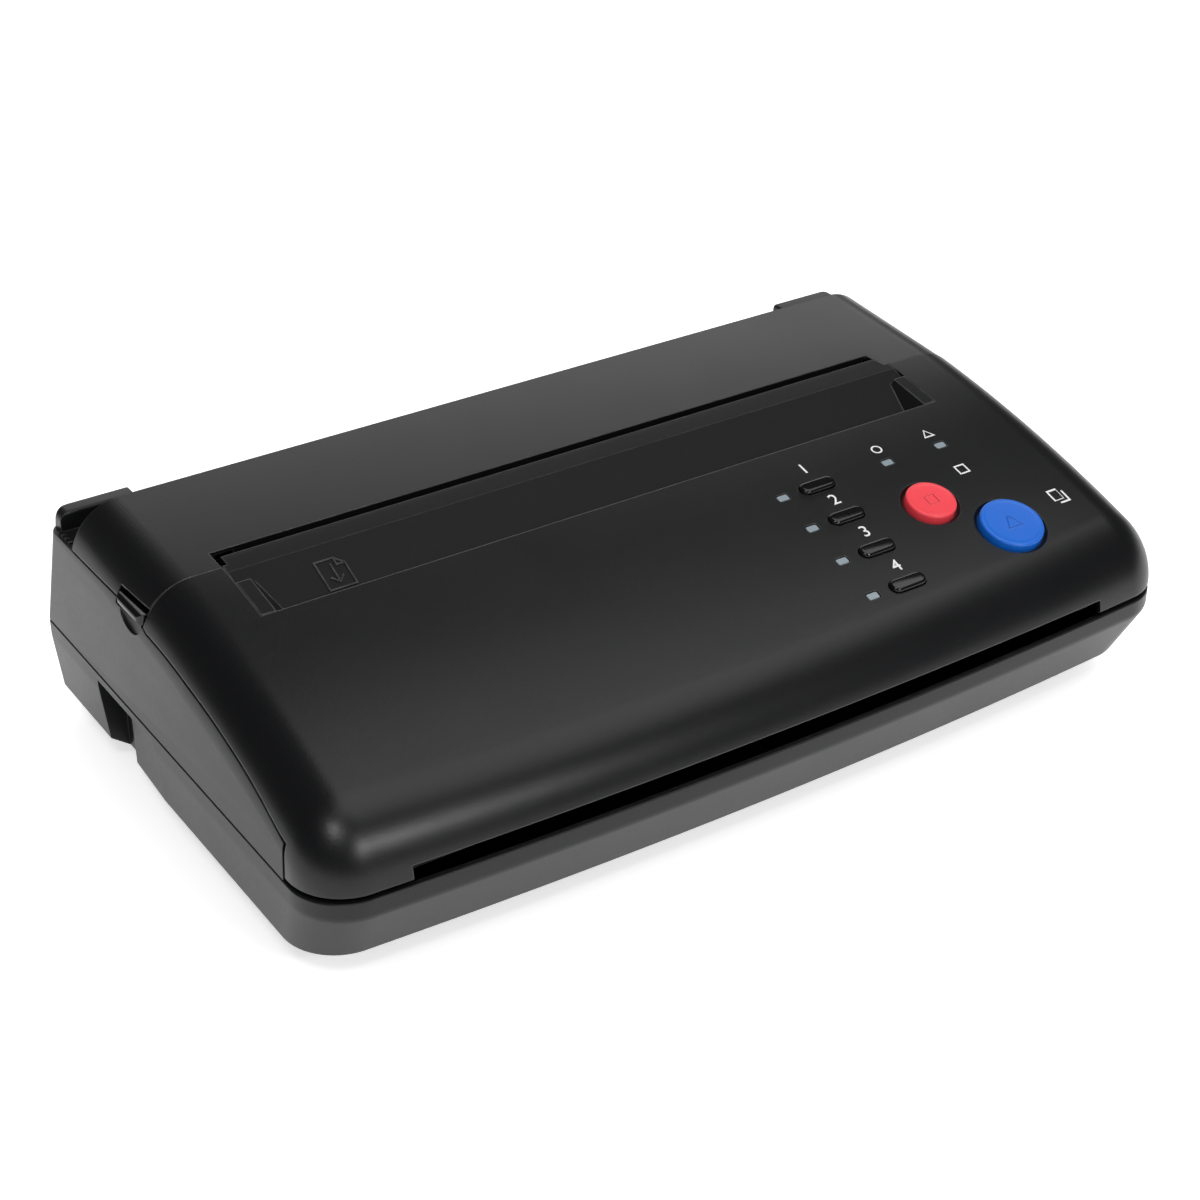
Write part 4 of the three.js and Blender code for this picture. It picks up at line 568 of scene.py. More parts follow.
def seam_line(shift_y, shift_z, steps=6):
    smooth = SEAM_LINE[:1]
    for i in range(1, LAST_CURVED):
        a, b, c, d = [SEAM_LINE[min(k, LAST_CURVED)] for k in (i - 1, i, i + 1, i + 2)]
        for k in range(steps):
            t = k / steps
            smooth.append(tuple(0.5 * (2 * q + (r - p) * t + (2 * p - 5 * q + 4 * r - s) * t ** 2
                                       + (3 * q - p - 3 * r + s) * t ** 3) for p, q, r, s in zip(a, b, c, d)))
    return [(y + shift_y, z + shift_z) for y, z in smooth + SEAM_LINE[LAST_CURVED:]]


def mirrored(points, side):
    return [(-x, z) for x, z in reversed(points)] if side < 0 else points


def ellipsoid(cx, cy, cz, rx, ry, rz, sides=48, rows=24):
    rings = []
    for i in range(1, rows):
        a = math.pi * i / rows
        rings.append([(cx + rx * math.sin(a) * math.cos(2 * math.pi * k / sides),
                       cy + ry * math.sin(a) * math.sin(2 * math.pi * k / sides), cz - rz * math.cos(a))
                      for k in range(sides)])
    return loft(rings)


def scoop(side, grow):
    return ellipsoid(side * drawn_in(HALF, LUG_LOW), LUG_FRONT + 8, LUG_LOW, 2 + grow, 8 + grow, 5.6 + grow)


def ear(side, low=74, outer=3.5, inner=1.2):
    outline = ([(EAR_INNER, low), (EAR_OUTER, low)] + arc(EAR_OUTER - outer, EAR_TOP - outer, outer, 0, 0.5, 10)
               + arc(EAR_INNER + inner, EAR_TOP - inner, inner, 0.5, 1, 5))
    front = [(EAR_FRONT, low)] + arc(EAR_FRONT + inner, EAR_TOP - inner, inner, 1, 0.5, 6) + [
        (REAR, EAR_TOP), (REAR, low)]
    raised = prism("y", mirrored(outline, side), EAR_FRONT, REAR)
    return within(raised, prism("x", front, -HALF, HALF), wall_block(0, CASING_LOW, CROWN_HEIGHT))


def ear_ledge(side):
    top = EDGE_HEIGHT - SEAM / 2
    at = span_x(side, EAR_OUTER - FIT, HALF)
    ribs = [box(*at, CROWN_Y + 1 + 3 * i, CROWN_Y + 2 + 3 * i, top - WALL / 2, top + 1) for i in range(5)]
    plate = box(*span_x(side, EAR_INNER, HALF), 76, REAR, top - WALL, top)
    return within(join(plate, *ribs), wall_block(WALL / 2, CASING_LOW, CROWN_HEIGHT))


def lug_room(side, front, low, high):
    return box(*span_x(side, LUG_INNER - FIT, BESIDE), front, LUG_REAR + WALL / 3, low, high)


def casing_walls(high):
    ring = cut(wall_block(0, CASING_LOW, high), wall_block(WALL, CASING_LOW - FIT, high + FIT))
    (start, _), *line = seam_line(FIT, -SEAM / 2)
    start += 1.2
    under, over = CASING_LOW - MARGIN, high + MARGIN
    cheek = [(start, under), (start, line[0][1] - 1.2)] + line + [(line[-1][0], over), (BEHIND, over),
                                                                 (BEHIND, under)]
    return within(ring, prism("x", cheek, -BESIDE, BESIDE))


def casing():
    high = EDGE_HEIGHT - SEAM / 2
    floor = within(wall_block(WALL / 2, CASING_LOW, CASING_LOW + WALL), box(-HALF, HALF, -36, REAR, 0, CROWN_HEIGHT))
    linings = [within(scoop(side, WALL), wall_block(0, CASING_LOW, LUG_LOW - FIT),
                      box(-HALF, HALF, LUG_FRONT, REAR, CASING_LOW, CROWN_HEIGHT)) for side in (-1, 1)]
    whole = join(casing_walls(high), floor, *linings, *[make(s) for make in (ear, ear_ledge) for s in (-1, 1)])
    bores = [bar("x", PIN_HOLE, *span_x(s, EAR_INNER - FIT, 166), *HINGE_AT, 32) for s in (-1, 1)]
    reach = BARREL_X + SEAM
    barrel = box(-reach, reach, HINGE_AT[0] - BARREL, BEHIND, HINGE_AT[1] - BARREL - SEAM, high + MARGIN)
    slot = box(PATH_LEFT, PATH_RIGHT, REAR - 11.4, BEHIND, EXIT_LOW, EXIT_HIGH)
    rooms = [lug_room(s, LUG_FRONT - WALL / 3, LUG_LOW - FIT, high + MARGIN) for s in (-1, 1)]
    eased = loft([wall_plan(0.35, CASING_LOW), wall_plan(0, CASING_LOW + 0.35), wall_plan(0, CROWN_HEIGHT)])
    return within(cut(whole, scoop(-1, 0), scoop(1, 0), *rooms, *bores, barrel, slot), eased, pillow(-0.04))


stand_in("casing", casing())

# %% [markdown]
# The rear cover is the pillow behind the seam, hollowed by a smaller pillow so that its wall is even, and its rear
# rim is broken by a narrow chamfer. Under it hang the brackets of the platen roller, a guide behind the slot and two
# bosses for the latch, and a thin arm at its rear ends in the round barrel of the hinge.

# %% Rear cover
PLATEN_AT, LATCH_AT = (43.942355, 73.356157), (37.0, 84.5)
BRACKET_X, BRACKET_WIDE, BOSS_X, ROD, ROD_X = 134.0, 2.5, 140.0, 2.5, 166.5
TONGUE_GAP, SLOT_REAR = 1.8, 30.4
CHUTE_Y, CHUTE_HIGH = 31.4, 88


def ring_bracket(left, right, at, hole, ring):
    y, z = at
    block = join(box(left, right, y - ring, y + ring, z, CROWN_HEIGHT), bar("x", ring, left, right, y, z))
    return cut(within(block, pillow(WALL / 2)), bar("x", hole, left - 5, right + 5, y, z))


def broken_rim(ease=0.55):
    rings = []
    for y, inset in ((0, -1), (CROWN_Y - ease, 0.0), (CROWN_Y, ease), (CROWN_Y + 1, ease + 1)):
        half = [(HALF - inset, 0)] + arc(HALF - ROLL, top_z(y) - ROLL, ROLL - inset, 0, 0.5, 20)
        right = [(drawn_in(x, z), y, z) for x, z in half]
        rings.append(right + [(-x, y, z) for x, y, z in reversed(right)])
    return loft(rings)


def rear_cover():
    low = EDGE_HEIGHT + SEAM / 2
    region = box(-BESIDE, BESIDE, SEAM_Y + SEAM / 2, CROWN_Y, low, ABOVE)
    shell = within(cut(pillow(0), pillow(WALL)), region)
    back = within(pillow(0), box(-BESIDE, BESIDE, CROWN_Y - WALL, CROWN_Y, low, ABOVE))
    notch = prism("z", [(PATH_LEFT, -HALF), (PATH_RIGHT - TONGUE_GAP, -HALF), (PATH_RIGHT - TONGUE_GAP, SEAM_Y),
                        (PATH_RIGHT - 2 * TONGUE_GAP, SLOT_REAR), (PATH_LEFT, SLOT_REAR)], 0, ABOVE)
    shell = cut(within(join(shell, back), broken_rim()), notch)
    inner = CROWN_Y - WALL
    arm = prism("x", [(inner, 84.4), (92.85, 81.7), (94.5, 83.9), (inner, 87)], -BARREL_X, BARREL_X)
    arm = join(arm, bar("x", BARREL, -BARREL_X, BARREL_X, *HINGE_AT))
    top, low_end = top_z(SLOT_REAR) - WALL / 2, 82.2
    guide = prism("x", [(SLOT_REAR, top), (SLOT_REAR + WALL, top), (SLOT_REAR + WALL, CHUTE_HIGH),
                        (CHUTE_Y + 2 * WALL, low_end), (CHUTE_Y + WALL, low_end), (SLOT_REAR, CHUTE_HIGH)],
                  -BRACKET_X, BRACKET_X)
    brackets, bosses = [[ring_bracket(*span_x(s, x, x + BRACKET_WIDE), at, hole, hole + 2) for s in (-1, 1)]
                        for x, at, hole in ((BRACKET_X, PLATEN_AT, 5.3), (BOSS_X, LATCH_AT, ROD + FIT))]
    whole = join(shell, arm, guide, *brackets, *bosses)
    rooms = [lug_room(s, SEAM_Y - WALL, 0, 84) for s in (-1, 1)]
    return cut(whole, bar("x", PIN_HOLE, -HALF, HALF, *HINGE_AT),
               bar("x", ROD + FIT, -ROD_X - FIT, ROD_X + FIT, *LATCH_AT), *rooms)


stand_in("rear_cover", rear_cover())

# %% [markdown]
# The latch is a rod across the cover with an arm, a hook and a lug at each end. The lugs are what a hand finds:
# short bars that sit flush in the side of the case. A lug is what its plan and its section have in common, which
# rounds it in both directions without a bevel.

# %% Latch bar
LUG_OUTER, LUG_ROUND = 173.4, 3


def lug(side):
    x, half = LUG_OUTER - LUG_ROUND, (LUG_HIGH - LUG_LOW) / 2
    plan = ([(LUG_INNER, LUG_FRONT)] + arc(x, LUG_FRONT + LUG_ROUND, LUG_ROUND, 1.5, 2, 8)
            + arc(x, LUG_REAR - LUG_ROUND, LUG_ROUND, 0, 0.5, 8) + [(LUG_INNER, LUG_REAR)])
    section = [(LUG_INNER, LUG_LOW)] + arc(LUG_OUTER - half, LUG_LOW + half, half, -0.5, 0.5, 14) + [
        (LUG_INNER, LUG_HIGH)]
    return within(prism("z", mirrored(plan, side), LUG_LOW, LUG_HIGH),
                  prism("y", mirrored(section, side), LUG_FRONT, LUG_REAR))


def latch_bar():
    y, z = LATCH_AT
    parts = [bar("x", ROD, -ROD_X, ROD_X, y, z)]
    hook = [(y, z), (26, 76.4), (26, 73), (31.3, 73), (31.3, 74.7), (29.4, 76.4), (y, z - ROD)]
    for side in (-1, 1):
        arm = box(*span_x(side, LUG_INNER, ROD_X), y - ROD, y + ROD, LUG_LOW, z)
        parts += [arm, lug(side), prism("x", hook, *span_x(side, 149.25, 152.25))]
    return join(*parts)


stand_in("latch_bar", latch_bar())

# %% [markdown]
# Places on the covers are given by X and Y alone. A small matrix lifts them onto the arch and tilts them with it, so
# that the keys, lamps and buttons stand square to the surface.

# %% Places on the panel
def tilted(x, y, z, slope):
    return Matrix.Translation((x, y, z)) @ Matrix.Rotation(math.atan(slope), 4, "X")


def on_top(x, y): return tilted(x, y, top_z(y), top_slope(y))


def put(made, matrix):
    for step in (Matrix.Scale(1 / MM, 4), matrix, Matrix.Scale(MM, 4)):
        made.data.transform(step)
    return made


def stack(outline, rows):
    return loft([[(x, y, z) for x, y in outline(inset)] for inset, z in rows])


def stadium(long, wide, steps=10):
    reach = (long - wide) / 2
    return arc(reach, 0, wide / 2, -0.5, 0.5, steps) + arc(-reach, 0, wide / 2, 0.5, 1.5, steps)


def rounded_slot(long, wide, radius, steps=6):
    a, b = long / 2 - radius, wide / 2 - radius
    return (arc(a, b, radius, 0, 0.5, steps) + arc(-a, b, radius, 0.5, 1, steps)
            + arc(-a, -b, radius, 1, 1.5, steps) + arc(a, -b, radius, 1.5, 2, steps))


KEY_X, LAMP_X = 65.10578, 50.00578
KEY_YS = [-29.99444, -47.19694, -64.39944, -81.60194]
LAMPS = {f"lamp_{i + 1}": (LAMP_X, y) for i, y in enumerate(KEY_YS)}
LAMPS |= {"ready_lamp": (97.89446, -29.50294), "alert_lamp": (122.80498, -29.50294)}
STOP_AT, COPY_AT = (98.10251, -53.70440), (118.89364, -74.00335)
STOP_R, COPY_R = 9.4, 11.9
KEY_LONG, KEY_WIDE, LAMP_LONG, LAMP_WIDE, LAMP_ROUND = 15, 5.8, 4.5, 2.8, 0.7
SKIRT, SKIRT_LOW, SKIRT_TOP = 1.2, -4.0, -2.8
print("keys at Y", [round(y, 1) for y in KEY_YS])

# %% [markdown]
# The front panel is the pillow in front of the seam, open for the tray, the sheet's mouth, the keys, the lamps and
# the round buttons. Its holes are cut by the outlines of what they hold, grown by the fit, so each gap is even.
# Round each button a shallow ring is sunk in, and the lip in front of the tray is thinned from below.

# %% Front panel
BACKING_AT, PINCH_AT, PANEL_AXIS = (-63.401989, 61.163173), (-87.713543, 51.752265), (-94.5, 47.0)
MOUTH_REAR, MOUTH_TOP = -92.3, SEAM_HEIGHT + 6.6
LIP_THICK = 1.3


def panel_region():
    line = seam_line(0, SEAM / 2)
    rear = SEAM_Y - SEAM / 2
    return prism("x", [(BEFORE, PANEL_LOW), (line[0][0], PANEL_LOW)] + line + [
        (rear, EDGE_HEIGHT + SEAM), (rear, ABOVE), (BEFORE, ABOVE)], -BESIDE, BESIDE)


def bracket_pair(left, radius=3.1):
    lugs = []
    for y, z in (BACKING_AT, PINCH_AT):
        lugs += [box(left, left + 2, y - radius, y + radius, z, CROWN_HEIGHT),
                 bar("x", radius, left, left + 2, y, z)]
    return within(join(*lugs), pillow(WALL / 2))


def panel_lug(side, radius=4.2):
    ends, (y, z) = span_x(side, 151.35, 154.85), PANEL_AXIS
    piece = join(box(*ends, FRONT + WALL, y, z - radius, z + radius), bar("x", radius, *ends, y, z))
    return within(piece, pillow(WALL / 2))


def round_holes(x, y, radius):
    sunk = [(0.5, -1.4), (1.2, -0.9), (1.7, -0.2), (1.9, 0.12), (1.9, 10)]
    ring = turned([(radius + out, z) for out, z in sunk], 0, 0, 96)
    return [put(made, on_top(x, y)) for made in (bar("z", radius + FIT, -10, 10, 0, 0, 96), ring)]


def front_panel():
    shell = within(cut(pillow(0), pillow(WALL)), panel_region())
    low = stack(full_plan, [(1.2, PANEL_LOW), (0.55, PANEL_LOW + 0.3), (0.15, PANEL_LOW + 0.8),
                            (0, PANEL_LOW + 1.4), (0, 140)])
    whole = within(join(shell, panel_lug(-1), panel_lug(1), bracket_pair(-138.5), bracket_pair(134.5)), low)
    flat, relief = LIP_Y - 4.5, LIP_Y - 10
    under = prism("x", [(LIP_Y + WALL, tray_z(LIP_Y)), (LIP_Y + WALL, top_z(LIP_Y) - LIP_THICK),
                        (flat, top_z(flat) - LIP_THICK), (relief, top_z(relief) - WALL - FIT),
                        (relief, tray_z(relief))], PATH_LEFT, PATH_RIGHT)
    cuts = [box(PATH_LEFT, PATH_RIGHT, LIP_Y, SEAM_Y + MARGIN, 0, ABOVE), under,
            box(PATH_LEFT, PATH_RIGHT, BEFORE, MOUTH_REAR, 0, MOUTH_TOP),
            bar("x", 1.9, -155.45, 155.45, *PANEL_AXIS)]
    cuts += [bar("x", 1.8, -155, 155, *at) for at in (BACKING_AT, PINCH_AT)]
    key_slot, lamp_slot = stadium(KEY_LONG + 2 * FIT, KEY_WIDE + 2 * FIT), rounded_slot(
        LAMP_LONG + 2 * FIT, LAMP_WIDE + 2 * FIT, LAMP_ROUND + 0.2)
    cuts += [put(prism("z", key_slot, -10, 10), on_top(KEY_X, y)) for y in KEY_YS]
    cuts += [put(prism("z", lamp_slot, -10, 10), on_top(*at)) for at in LAMPS.values()]
    cuts += round_holes(*STOP_AT, STOP_R) + round_holes(*COPY_AT, COPY_R)
    return cut(whole, *cuts)


stand_in("front_panel", front_panel())

# %% [markdown]
# The document tray is a plate that runs level with the covers as a tongue, then turns down and falls to the front.
# Its side view gives the plate and its plan trims it. The two fences have tops level with the panel and walls that
# lean in at 45 degrees. Windows in the floor let the rollers and the sensor reach the sheet.

# %% Document tray
CHUTE_LOW, FENCE_REAR, FENCE_WIDE = 80, 10.8, 5
WINDOWS = {"feed roller": (-62.2, 62.2, -20, 14), "sensor": (-132.7, 128.7, -62, 15.6),
           "exit roller": (-122.2, 122.2, -86, 9.3)}


def tray_profile():
    tongue = [TONGUE_REAR + (TRAY_TOP - TONGUE_REAR) * i / 6 for i in range(1, 7)]
    edge = [(TONGUE_REAR, top_z(TONGUE_REAR) - 0.5), (TONGUE_REAR - 0.15, top_z(TONGUE_REAR) - 0.15)]
    tops = edge + [(y, top_z(y)) for y in tongue]
    front = tray_z(TRAY_FRONT)
    return tops + [(TRAY_FRONT, front), (TRAY_FRONT, front - WALL), (TRAY_TOP, tray_z(TRAY_TOP) - WALL),
                   (TONGUE_REAR - WALL, CHUTE_HIGH), (CHUTE_Y - WALL, CHUTE_LOW), (CHUTE_Y, CHUTE_LOW),
                   (TONGUE_REAR, CHUTE_HIGH)]


def tray_plan():
    left, right, notch = PATH_LEFT + FIT, PATH_RIGHT - FIT, SEAM_Y + FIT
    return [(left, -HALF), (right, -HALF), (right, notch), (right - TONGUE_GAP, notch),
            (right - 2 * TONGUE_GAP, TONGUE_REAR), (left + TONGUE_GAP, TONGUE_REAR), (left + TONGUE_GAP, notch),
            (left, notch)]


def fence(side, steps=6):
    outer = PATH_LEFT + FIT if side < 0 else PATH_RIGHT - FIT
    inner, rings = outer - side * FENCE_WIDE, []
    for i in range(steps + 1):
        y = LIP_Y + FIT + (FENCE_REAR - LIP_Y - FIT) * i / steps
        top, low = top_z(y), tray_z(y) - WALL / 2
        rings.append([(outer, y, top), (inner, y, top), (inner - side * (top - low), y, low), (outer, y, low)])
    return loft(rings)


def slope_block(left, right, y, run, low, high):
    wide, tall, lift = (right - left) / 2, (high - low) / 2, (low + high) / 2 / math.hypot(1, TRAY_SLOPE)
    place = tilted((left + right) / 2, y - lift * TRAY_SLOPE, tray_z(y) + lift, TRAY_SLOPE)
    return put(box(-wide, wide, -run / 2, run / 2, -tall, tall), place)


def document_tray():
    plate = within(prism("x", tray_profile(), -HALF, HALF), prism("z", tray_plan(), 0, ABOVE))
    rooms = [slope_block(*window, -2 * WALL, WALL) for window in WINDOWS.values()]
    return cut(join(plate, fence(-1), fence(1)), *rooms)


stand_in("document_tray", document_tray(), sharp=8)

# %% [markdown]
# The four keys are black bars with full rounded ends and a well rounded top. Each is a loft of the same outline,
# drawn in a little more at each step of the rounding, on a wider skirt that keeps it under the panel.

# %% Keys
def rounded_rows(radius, low, high, steps=6):
    turns = [math.pi / 2 * i / steps for i in range(steps + 1)]
    return [(0, low)] + [(radius * (1 - math.cos(t)), high - radius * (1 - math.sin(t))) for t in turns]


def key_cap():
    cap = stack(lambda d: stadium(KEY_LONG - 2 * d, KEY_WIDE - 2 * d), rounded_rows(1.3, -3.4, 1.5))
    return join(cap, prism("z", stadium(KEY_LONG + 2 * SKIRT, KEY_WIDE + 2 * SKIRT), SKIRT_LOW, SKIRT_TOP))


for i, y in enumerate(KEY_YS):
    stand_in(f"mode_key_{i + 1}", put(key_cap(), on_top(KEY_X, y)))

# %% [markdown]
# The lamps are small light guides of milky plastic that end just under the panel's surface. Their corners are
# rounded and their rims are broken by a fine chamfer, which the loft gives with one more ring.

# %% Lamps of the panel
def light_guide():
    return stack(lambda d: rounded_slot(LAMP_LONG - 2 * d, LAMP_WIDE - 2 * d, LAMP_ROUND - d),
                 [(0, -5.3), (0, -0.3), (0.15, -0.15)])


for name, at in LAMPS.items():
    stand_in(name, put(light_guide(), on_top(*at)))

# %% [markdown]
# The two round buttons are turned caps. The flat top is a hair lower than its rim, and an outline is engraved in it:
# a square that stands for stop and a triangle for copy. The figures are cut as real grooves, so they catch the
# light.

# %% Round buttons
def line_figure(outline, line, low, high):
    inner = [(x * (1 - line), y * (1 - line)) for x, y in outline]
    return cut(prism("z", outline, low, high), prism("z", inner, low - 1, high + 1))


def square(half): return [(-half, -half), (half, -half), (half, half), (-half, half)]


def button(radius, outline, top=2.1, shoulder=0.9):
    profile = [(radius, -3.4)] + arc(radius - shoulder, top - shoulder, shoulder, 0, 0.5, 8) + [
        (radius - 1.4, top), (radius - 1.8, top - 0.12), (radius - 2.4, top - 0.15)]
    skirt = turned([(radius + SKIRT, SKIRT_LOW), (radius + SKIRT, SKIRT_TOP)], 0, 0, 96)
    return cut(join(turned(profile, 0, 0, 96), skirt), line_figure(outline, 0.2, top - 0.45, 4))


stand_in("stop_button", put(button(STOP_R, square(2.3)), on_top(*STOP_AT)))
stand_in("copy_button", put(button(COPY_R, [(-3.6, -2.6), (3.6, -2.6), (0, 3.8)]), on_top(*COPY_AT)))

# %% [markdown]
# Printed marks tell the keys apart. Plain numbers stand behind the keys, and small line figures stand by the two
# lamps and the round buttons. They could be painted by a material, but a wafer of white ink, a few hundredths of a
# millimetre thick and laid on the panel, has sharp edges from near and far.

# %% Printed marks
INK = 0.03


def ink(name, made, at):
    made.name = made.data.name = name
    paint(made, "print_white")
    put(made, on_top(*at))
    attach(made, "panel")


def numeral(text, size):
    curve = bpy.data.curves.new("numeral", "FONT")
    curve.body, curve.size, curve.extrude = text, size * MM, INK * MM / 2
    curve.align_x, curve.align_y, curve.offset = "CENTER", "CENTER", 0.00004
    mesh = settled(add_object("numeral", curve))
    bpy.data.curves.remove(curve)
    mesh.transform(Matrix.Translation((0, 0, INK * MM / 2)))
    return add_object("numeral", mesh)


for i, y in enumerate((-20.2, -38.5, -56.1, -73.7)):
    ink(f"key_number_{i + 1}", numeral(str(i + 1), 7.4), (66.5, y))
ink("ready_mark", line_figure(circle(0, 0, 2.2, 40), 0.3, 0, INK), (98.6, -22.1))
ink("alert_mark", line_figure([(-2.6, -1.9), (2.6, -1.9), (0, 2.6)], 0.36, 0, INK), (122.2, -22.5))
ink("stop_mark", line_figure(square(2.4), 0.28, 0, INK), (121.3, -43.7))
front_sheet = line_figure([(-3.4, -1.8), (1.2, -1.8), (1.2, 3.8), (-3.4, 3.8)], 0.22, 0, INK)
rear_sheet = box(2.3, 3.1, -3.6, 2.0, 0, INK), box(-1.6, 3.1, -3.6, -2.8, 0, INK)
ink("copy_mark", join(front_sheet, *rear_sheet), (146.3, -69.0))
print("marks laid on the panel")

# %% [markdown]
# Near its left end the tray's floor carries a raised line figure that shows which way a sheet goes in: a plain sheet
# with an arrow. It is built flat as thin ridges and then tilted onto the slope of the floor.

# %% Mark on the tray
def ridge(a, b, wide=0.6, high=0.4):
    (ax, ay), (bx, by) = a, b
    half = wide / 2 / math.hypot(bx - ax, by - ay)
    u, v = (bx - ax) * half, (by - ay) * half
    return prism("z", [(ax - u - v, ay - v + u), (ax - u + v, ay - v - u), (bx + u + v, by + v - u),
                       (bx + u - v, by + v + u)], -0.2, high)


sheet = [(-5, -6), (5, -6), (5, 3.5), (2, 6.5), (-5, 6.5)]
lines = [(sheet[i], sheet[(i + 1) % 5]) for i in range(5)]
lines += [((2, 6.5), (2, 3.5)), ((2, 3.5), (5, 3.5)), ((0, 4.2), (0, -3.6)), ((0, -3.6), (-2.2, -1.2)),
          ((0, -3.6), (2.2, -1.2))]
x, y = -109.5, 4.5
mark = put(join(*[ridge(*line) for line in lines]), tilted(x, y, tray_z(y), TRAY_SLOPE))
finish_piece("tray_mark", mark, "machine", "tray_black")

# %% [markdown]
# The rollers have broken ends: ground rubber on steel shafts for the drive, white plastic over the sensor. Each is
# an outline spun round its own shaft, with the bore cut through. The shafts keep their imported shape, which is round
# enough.

# %% Rollers
def sleeve(radius, core, left, right, at, ease=0.5):
    outline = [(radius - ease, left), (radius, left + ease), (radius, right - ease), (radius - ease, right)]
    rubber = loft([[(x, y, z) for y, z in circle(*at, r, 72)] for r, x in outline])
    return cut(rubber, bar("x", core, left - 5, right + 5, *at))


FEED_AT, EXIT_AT = (-17.468630, 69.619115), (-84.442234, 44.015435)
stand_in("platen_sleeve", sleeve(8, 3.3, -128, 128, PLATEN_AT))
stand_in("feed_sleeve", sleeve(7, 3.3, -60, 60, FEED_AT))
stand_in("exit_sleeve", sleeve(4.5, 1.8, -120, 120, EXIT_AT))
stand_in("backing_sleeve", sleeve(3.3, 1.8, -132.7, 128.7, BACKING_AT))

# %% [markdown]
# The gears are moulded in pale plastic. A tooth's flanks are curved, and the larger gears are thinner between the rim
# and the hub. Each gear is turned so that its teeth stand in the gaps of the one that it meets, as in the solids.

# %% Gears
GEAR_LEFT, GEAR_RIGHT = -161.5, -156.5


def gear_outline(teeth, at, turn, steps=4):
    pitch_radius, pitch = teeth / 2, 2 * math.pi / teeth
    points = []
    for tooth in range(teeth):
        for side in (-1, 1):
            flank = [k / steps for k in range(steps + 1)]
            for up in flank[::-side]:
                radius = pitch_radius - 1.1 + 1.95 * up
                share = 0.27 - 0.18 * up ** 1.5
                angle = turn + (tooth + side * share) * pitch
                points.append((at[0] + radius * math.cos(angle), at[1] + radius * math.sin(angle)))
    return points


def mate_turn(start, start_teeth, start_turn, at, teeth):
    angle = math.atan2(at[1] - start[1], at[0] - start[0])
    place = (angle - start_turn) * start_teeth / (2 * math.pi)
    return angle + math.pi - (0.5 - place) * 2 * math.pi / teeth


def gear(teeth, at, turn, bore):
    blank = prism("x", gear_outline(teeth, at, turn), GEAR_LEFT, GEAR_RIGHT)
    cuts = [bar("x", bore, GEAR_LEFT - 6.5, GEAR_RIGHT + 6.5, *at)]
    rim, hub = teeth / 2 - 2.4, bore + 1.6
    if rim - hub > 1.5:
        for low in (GEAR_LEFT - 1, GEAR_RIGHT - 1):
            cuts.append(cut(bar("x", rim, low, low + 2, *at, 64), bar("x", hub, low - 1, low + 3, *at)))
    return cut(blank, *cuts)


LIFT_AT, PINION_AT, IDLER_AT = (42.642867, 55.403126), (26.889838, 58.203495), (4.668187, 61.731698)
lift_turn = mate_turn(PLATEN_AT, 16, 0, LIFT_AT, 20)
pinion_turn = mate_turn(LIFT_AT, 20, lift_turn, PINION_AT, 12)
idler_turn = mate_turn(PINION_AT, 12, pinion_turn, IDLER_AT, 33)
stand_in("platen_gear", gear(16, PLATEN_AT, 0, 3.3))
stand_in("lift_idler", gear(20, LIFT_AT, lift_turn, 1.8))
stand_in("feed_idler", gear(33, IDLER_AT, idler_turn, 1.8))

# %% [markdown]
# Two coil springs press the head up against the roller. A Screw modifier could wind them, but rings set along a coil
# can let the end turns lie flat, as on a real spring.

# %% Springs
SPRING_Y, SPRING_LOW, SPRING_HIGH = 20.0, 43.1, 55.3


def coil_spring(x, radius=3.6, wire=0.4, turns=5.5, steps=160, sides=10):
    rings = []
    for i in range(steps + 1):
        turn = turns * i / steps
        share = min(1.0, max(0.0, (turn - 0.7) / (turns - 1.4)))
        angle = 2 * math.pi * turn
        height = SPRING_LOW + wire + (SPRING_HIGH - SPRING_LOW - 2 * wire) * share
        rings.append([(x + out * math.cos(angle), SPRING_Y + out * math.sin(angle), height + up)
                      for out, up in circle(radius, 0, wire, sides)])
    return loft(rings)


for side, x in (("left", -92.0), ("right", 92.0)):
    spring = stand_in(f"head_spring_{side}", coil_spring(x))
    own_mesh(spring)

# %% [markdown]
# The two boards carry a few large parts. The board itself is green glass fibre, and what stands on it is black or
# white plastic and bare metal, so the parts are pieces of their own on top of a thin plate.

# %% Boards
BOARD_LOW, BOARD_TOP = 11.7, 13.3


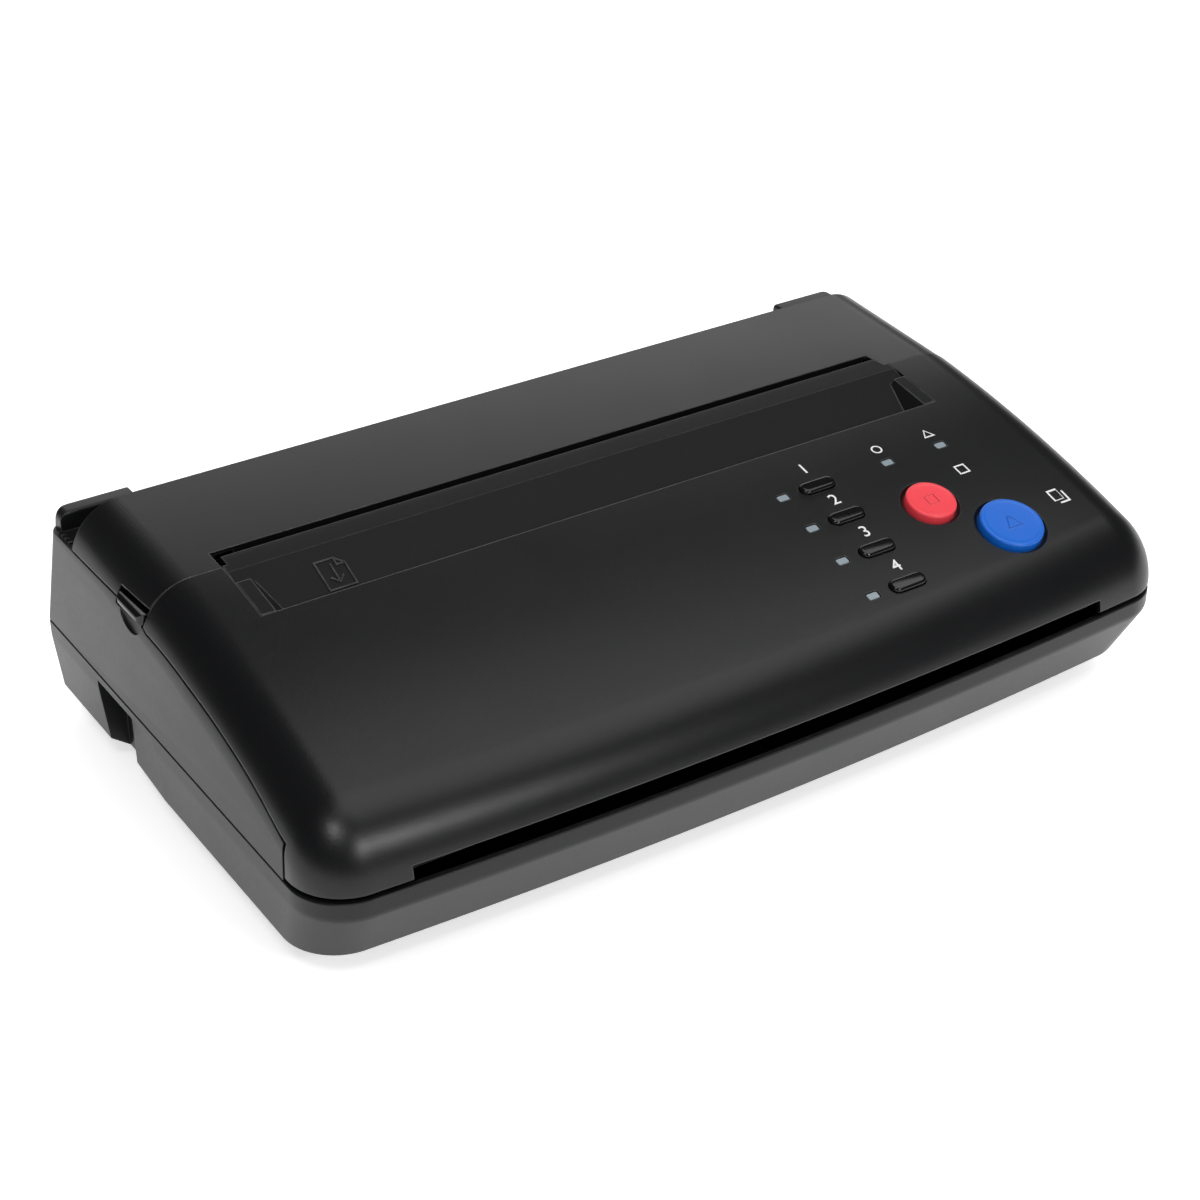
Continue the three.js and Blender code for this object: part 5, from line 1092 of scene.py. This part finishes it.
def laden_board(name, parts):
    left, right, front, rear = BOARDS[name]
    finish_piece(name + "_plate", box(*BOARDS[name], BOARD_LOW, BOARD_TOP), "machine", "board_green", name)
    long, deep = right - left, rear - front
    for i, (slot, x, y, w, d, h) in enumerate(parts):
        cx, cy, top = left + x * long, front + y * deep, BOARD_TOP + h * long
        wide, run = w * long / 2, d * deep / 2
        ease = min(0.6, wide / 3, run / 3, h * long / 3)
        rows = [(0, BOARD_TOP), (0, top - ease), (ease * 0.3, top - ease * 0.3), (ease, top)]
        made = loft([[(cx + sx * (wide - e), cy + sy * (run - e), z) for sx, sy in square(1)] for e, z in rows])
        finish_piece(f"{name}_part_{i + 1}", made, "machine", slot, name)


laden_board("main_board", [
    ("socket_black", 0.3, 0.55, 0.13, 0.2, 0.02), ("socket_black", 0.6, 0.6, 0.1, 0.16, 0.02),
    ("roller_white", 0.5, 0.93, 0.5, 0.06, 0.05), ("roller_white", 0.93, 0.5, 0.05, 0.5, 0.05),
    ("head_aluminium", 0.18, 0.15, 0.08, 0.12, 0.06)])
laden_board("supply_board", [
    ("gear_plastic", 0.35, 0.4, 0.34, 0.42, 0.22), ("head_aluminium", 0.75, 0.7, 0.18, 0.26, 0.2),
    ("socket_black", 0.75, 0.25, 0.2, 0.2, 0.14)])

# %% [markdown]
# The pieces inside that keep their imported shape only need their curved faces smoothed. A small node group does this
# as a modifier: it smooths all faces, and keeps every edge sharp that turns by more than 30 degrees.

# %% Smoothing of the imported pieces
def smooth_group(limit=math.radians(30)):
    group = bpy.data.node_groups.new("smooth_by_angle", "GeometryNodeTree")
    for way in ("INPUT", "OUTPUT"):
        group.interface.new_socket("Geometry", in_out=way, socket_type="NodeSocketGeometry")
    make, link = group.nodes.new, group.links.new
    start, end, angle, below = [make(kind) for kind in (
        "NodeGroupInput", "NodeGroupOutput", "GeometryNodeInputMeshEdgeAngle", "FunctionNodeCompare")]
    faces, edges = [make("GeometryNodeSetShadeSmooth") for _ in range(2)]
    edges.domain = "EDGE"
    below.operation = "LESS_THAN"
    below.inputs[1].default_value = limit
    link(angle.outputs[0], below.inputs[0])
    link(start.outputs[0], faces.inputs["Geometry"])
    link(faces.outputs[0], edges.inputs["Geometry"])
    link(below.outputs[0], edges.inputs["Shade Smooth"])
    link(edges.outputs[0], end.inputs[0])
    return group


smoothing = smooth_group()
for node in nodes.values():
    node.modifiers.new("smooth", "NODES").node_group = smoothing
print("smoothed", len(nodes), "packed pieces")

# %% [markdown]
# The last step sets the colour view to Standard.

# %% Colour view
bpy.context.scene.view_settings.view_transform = "Standard"
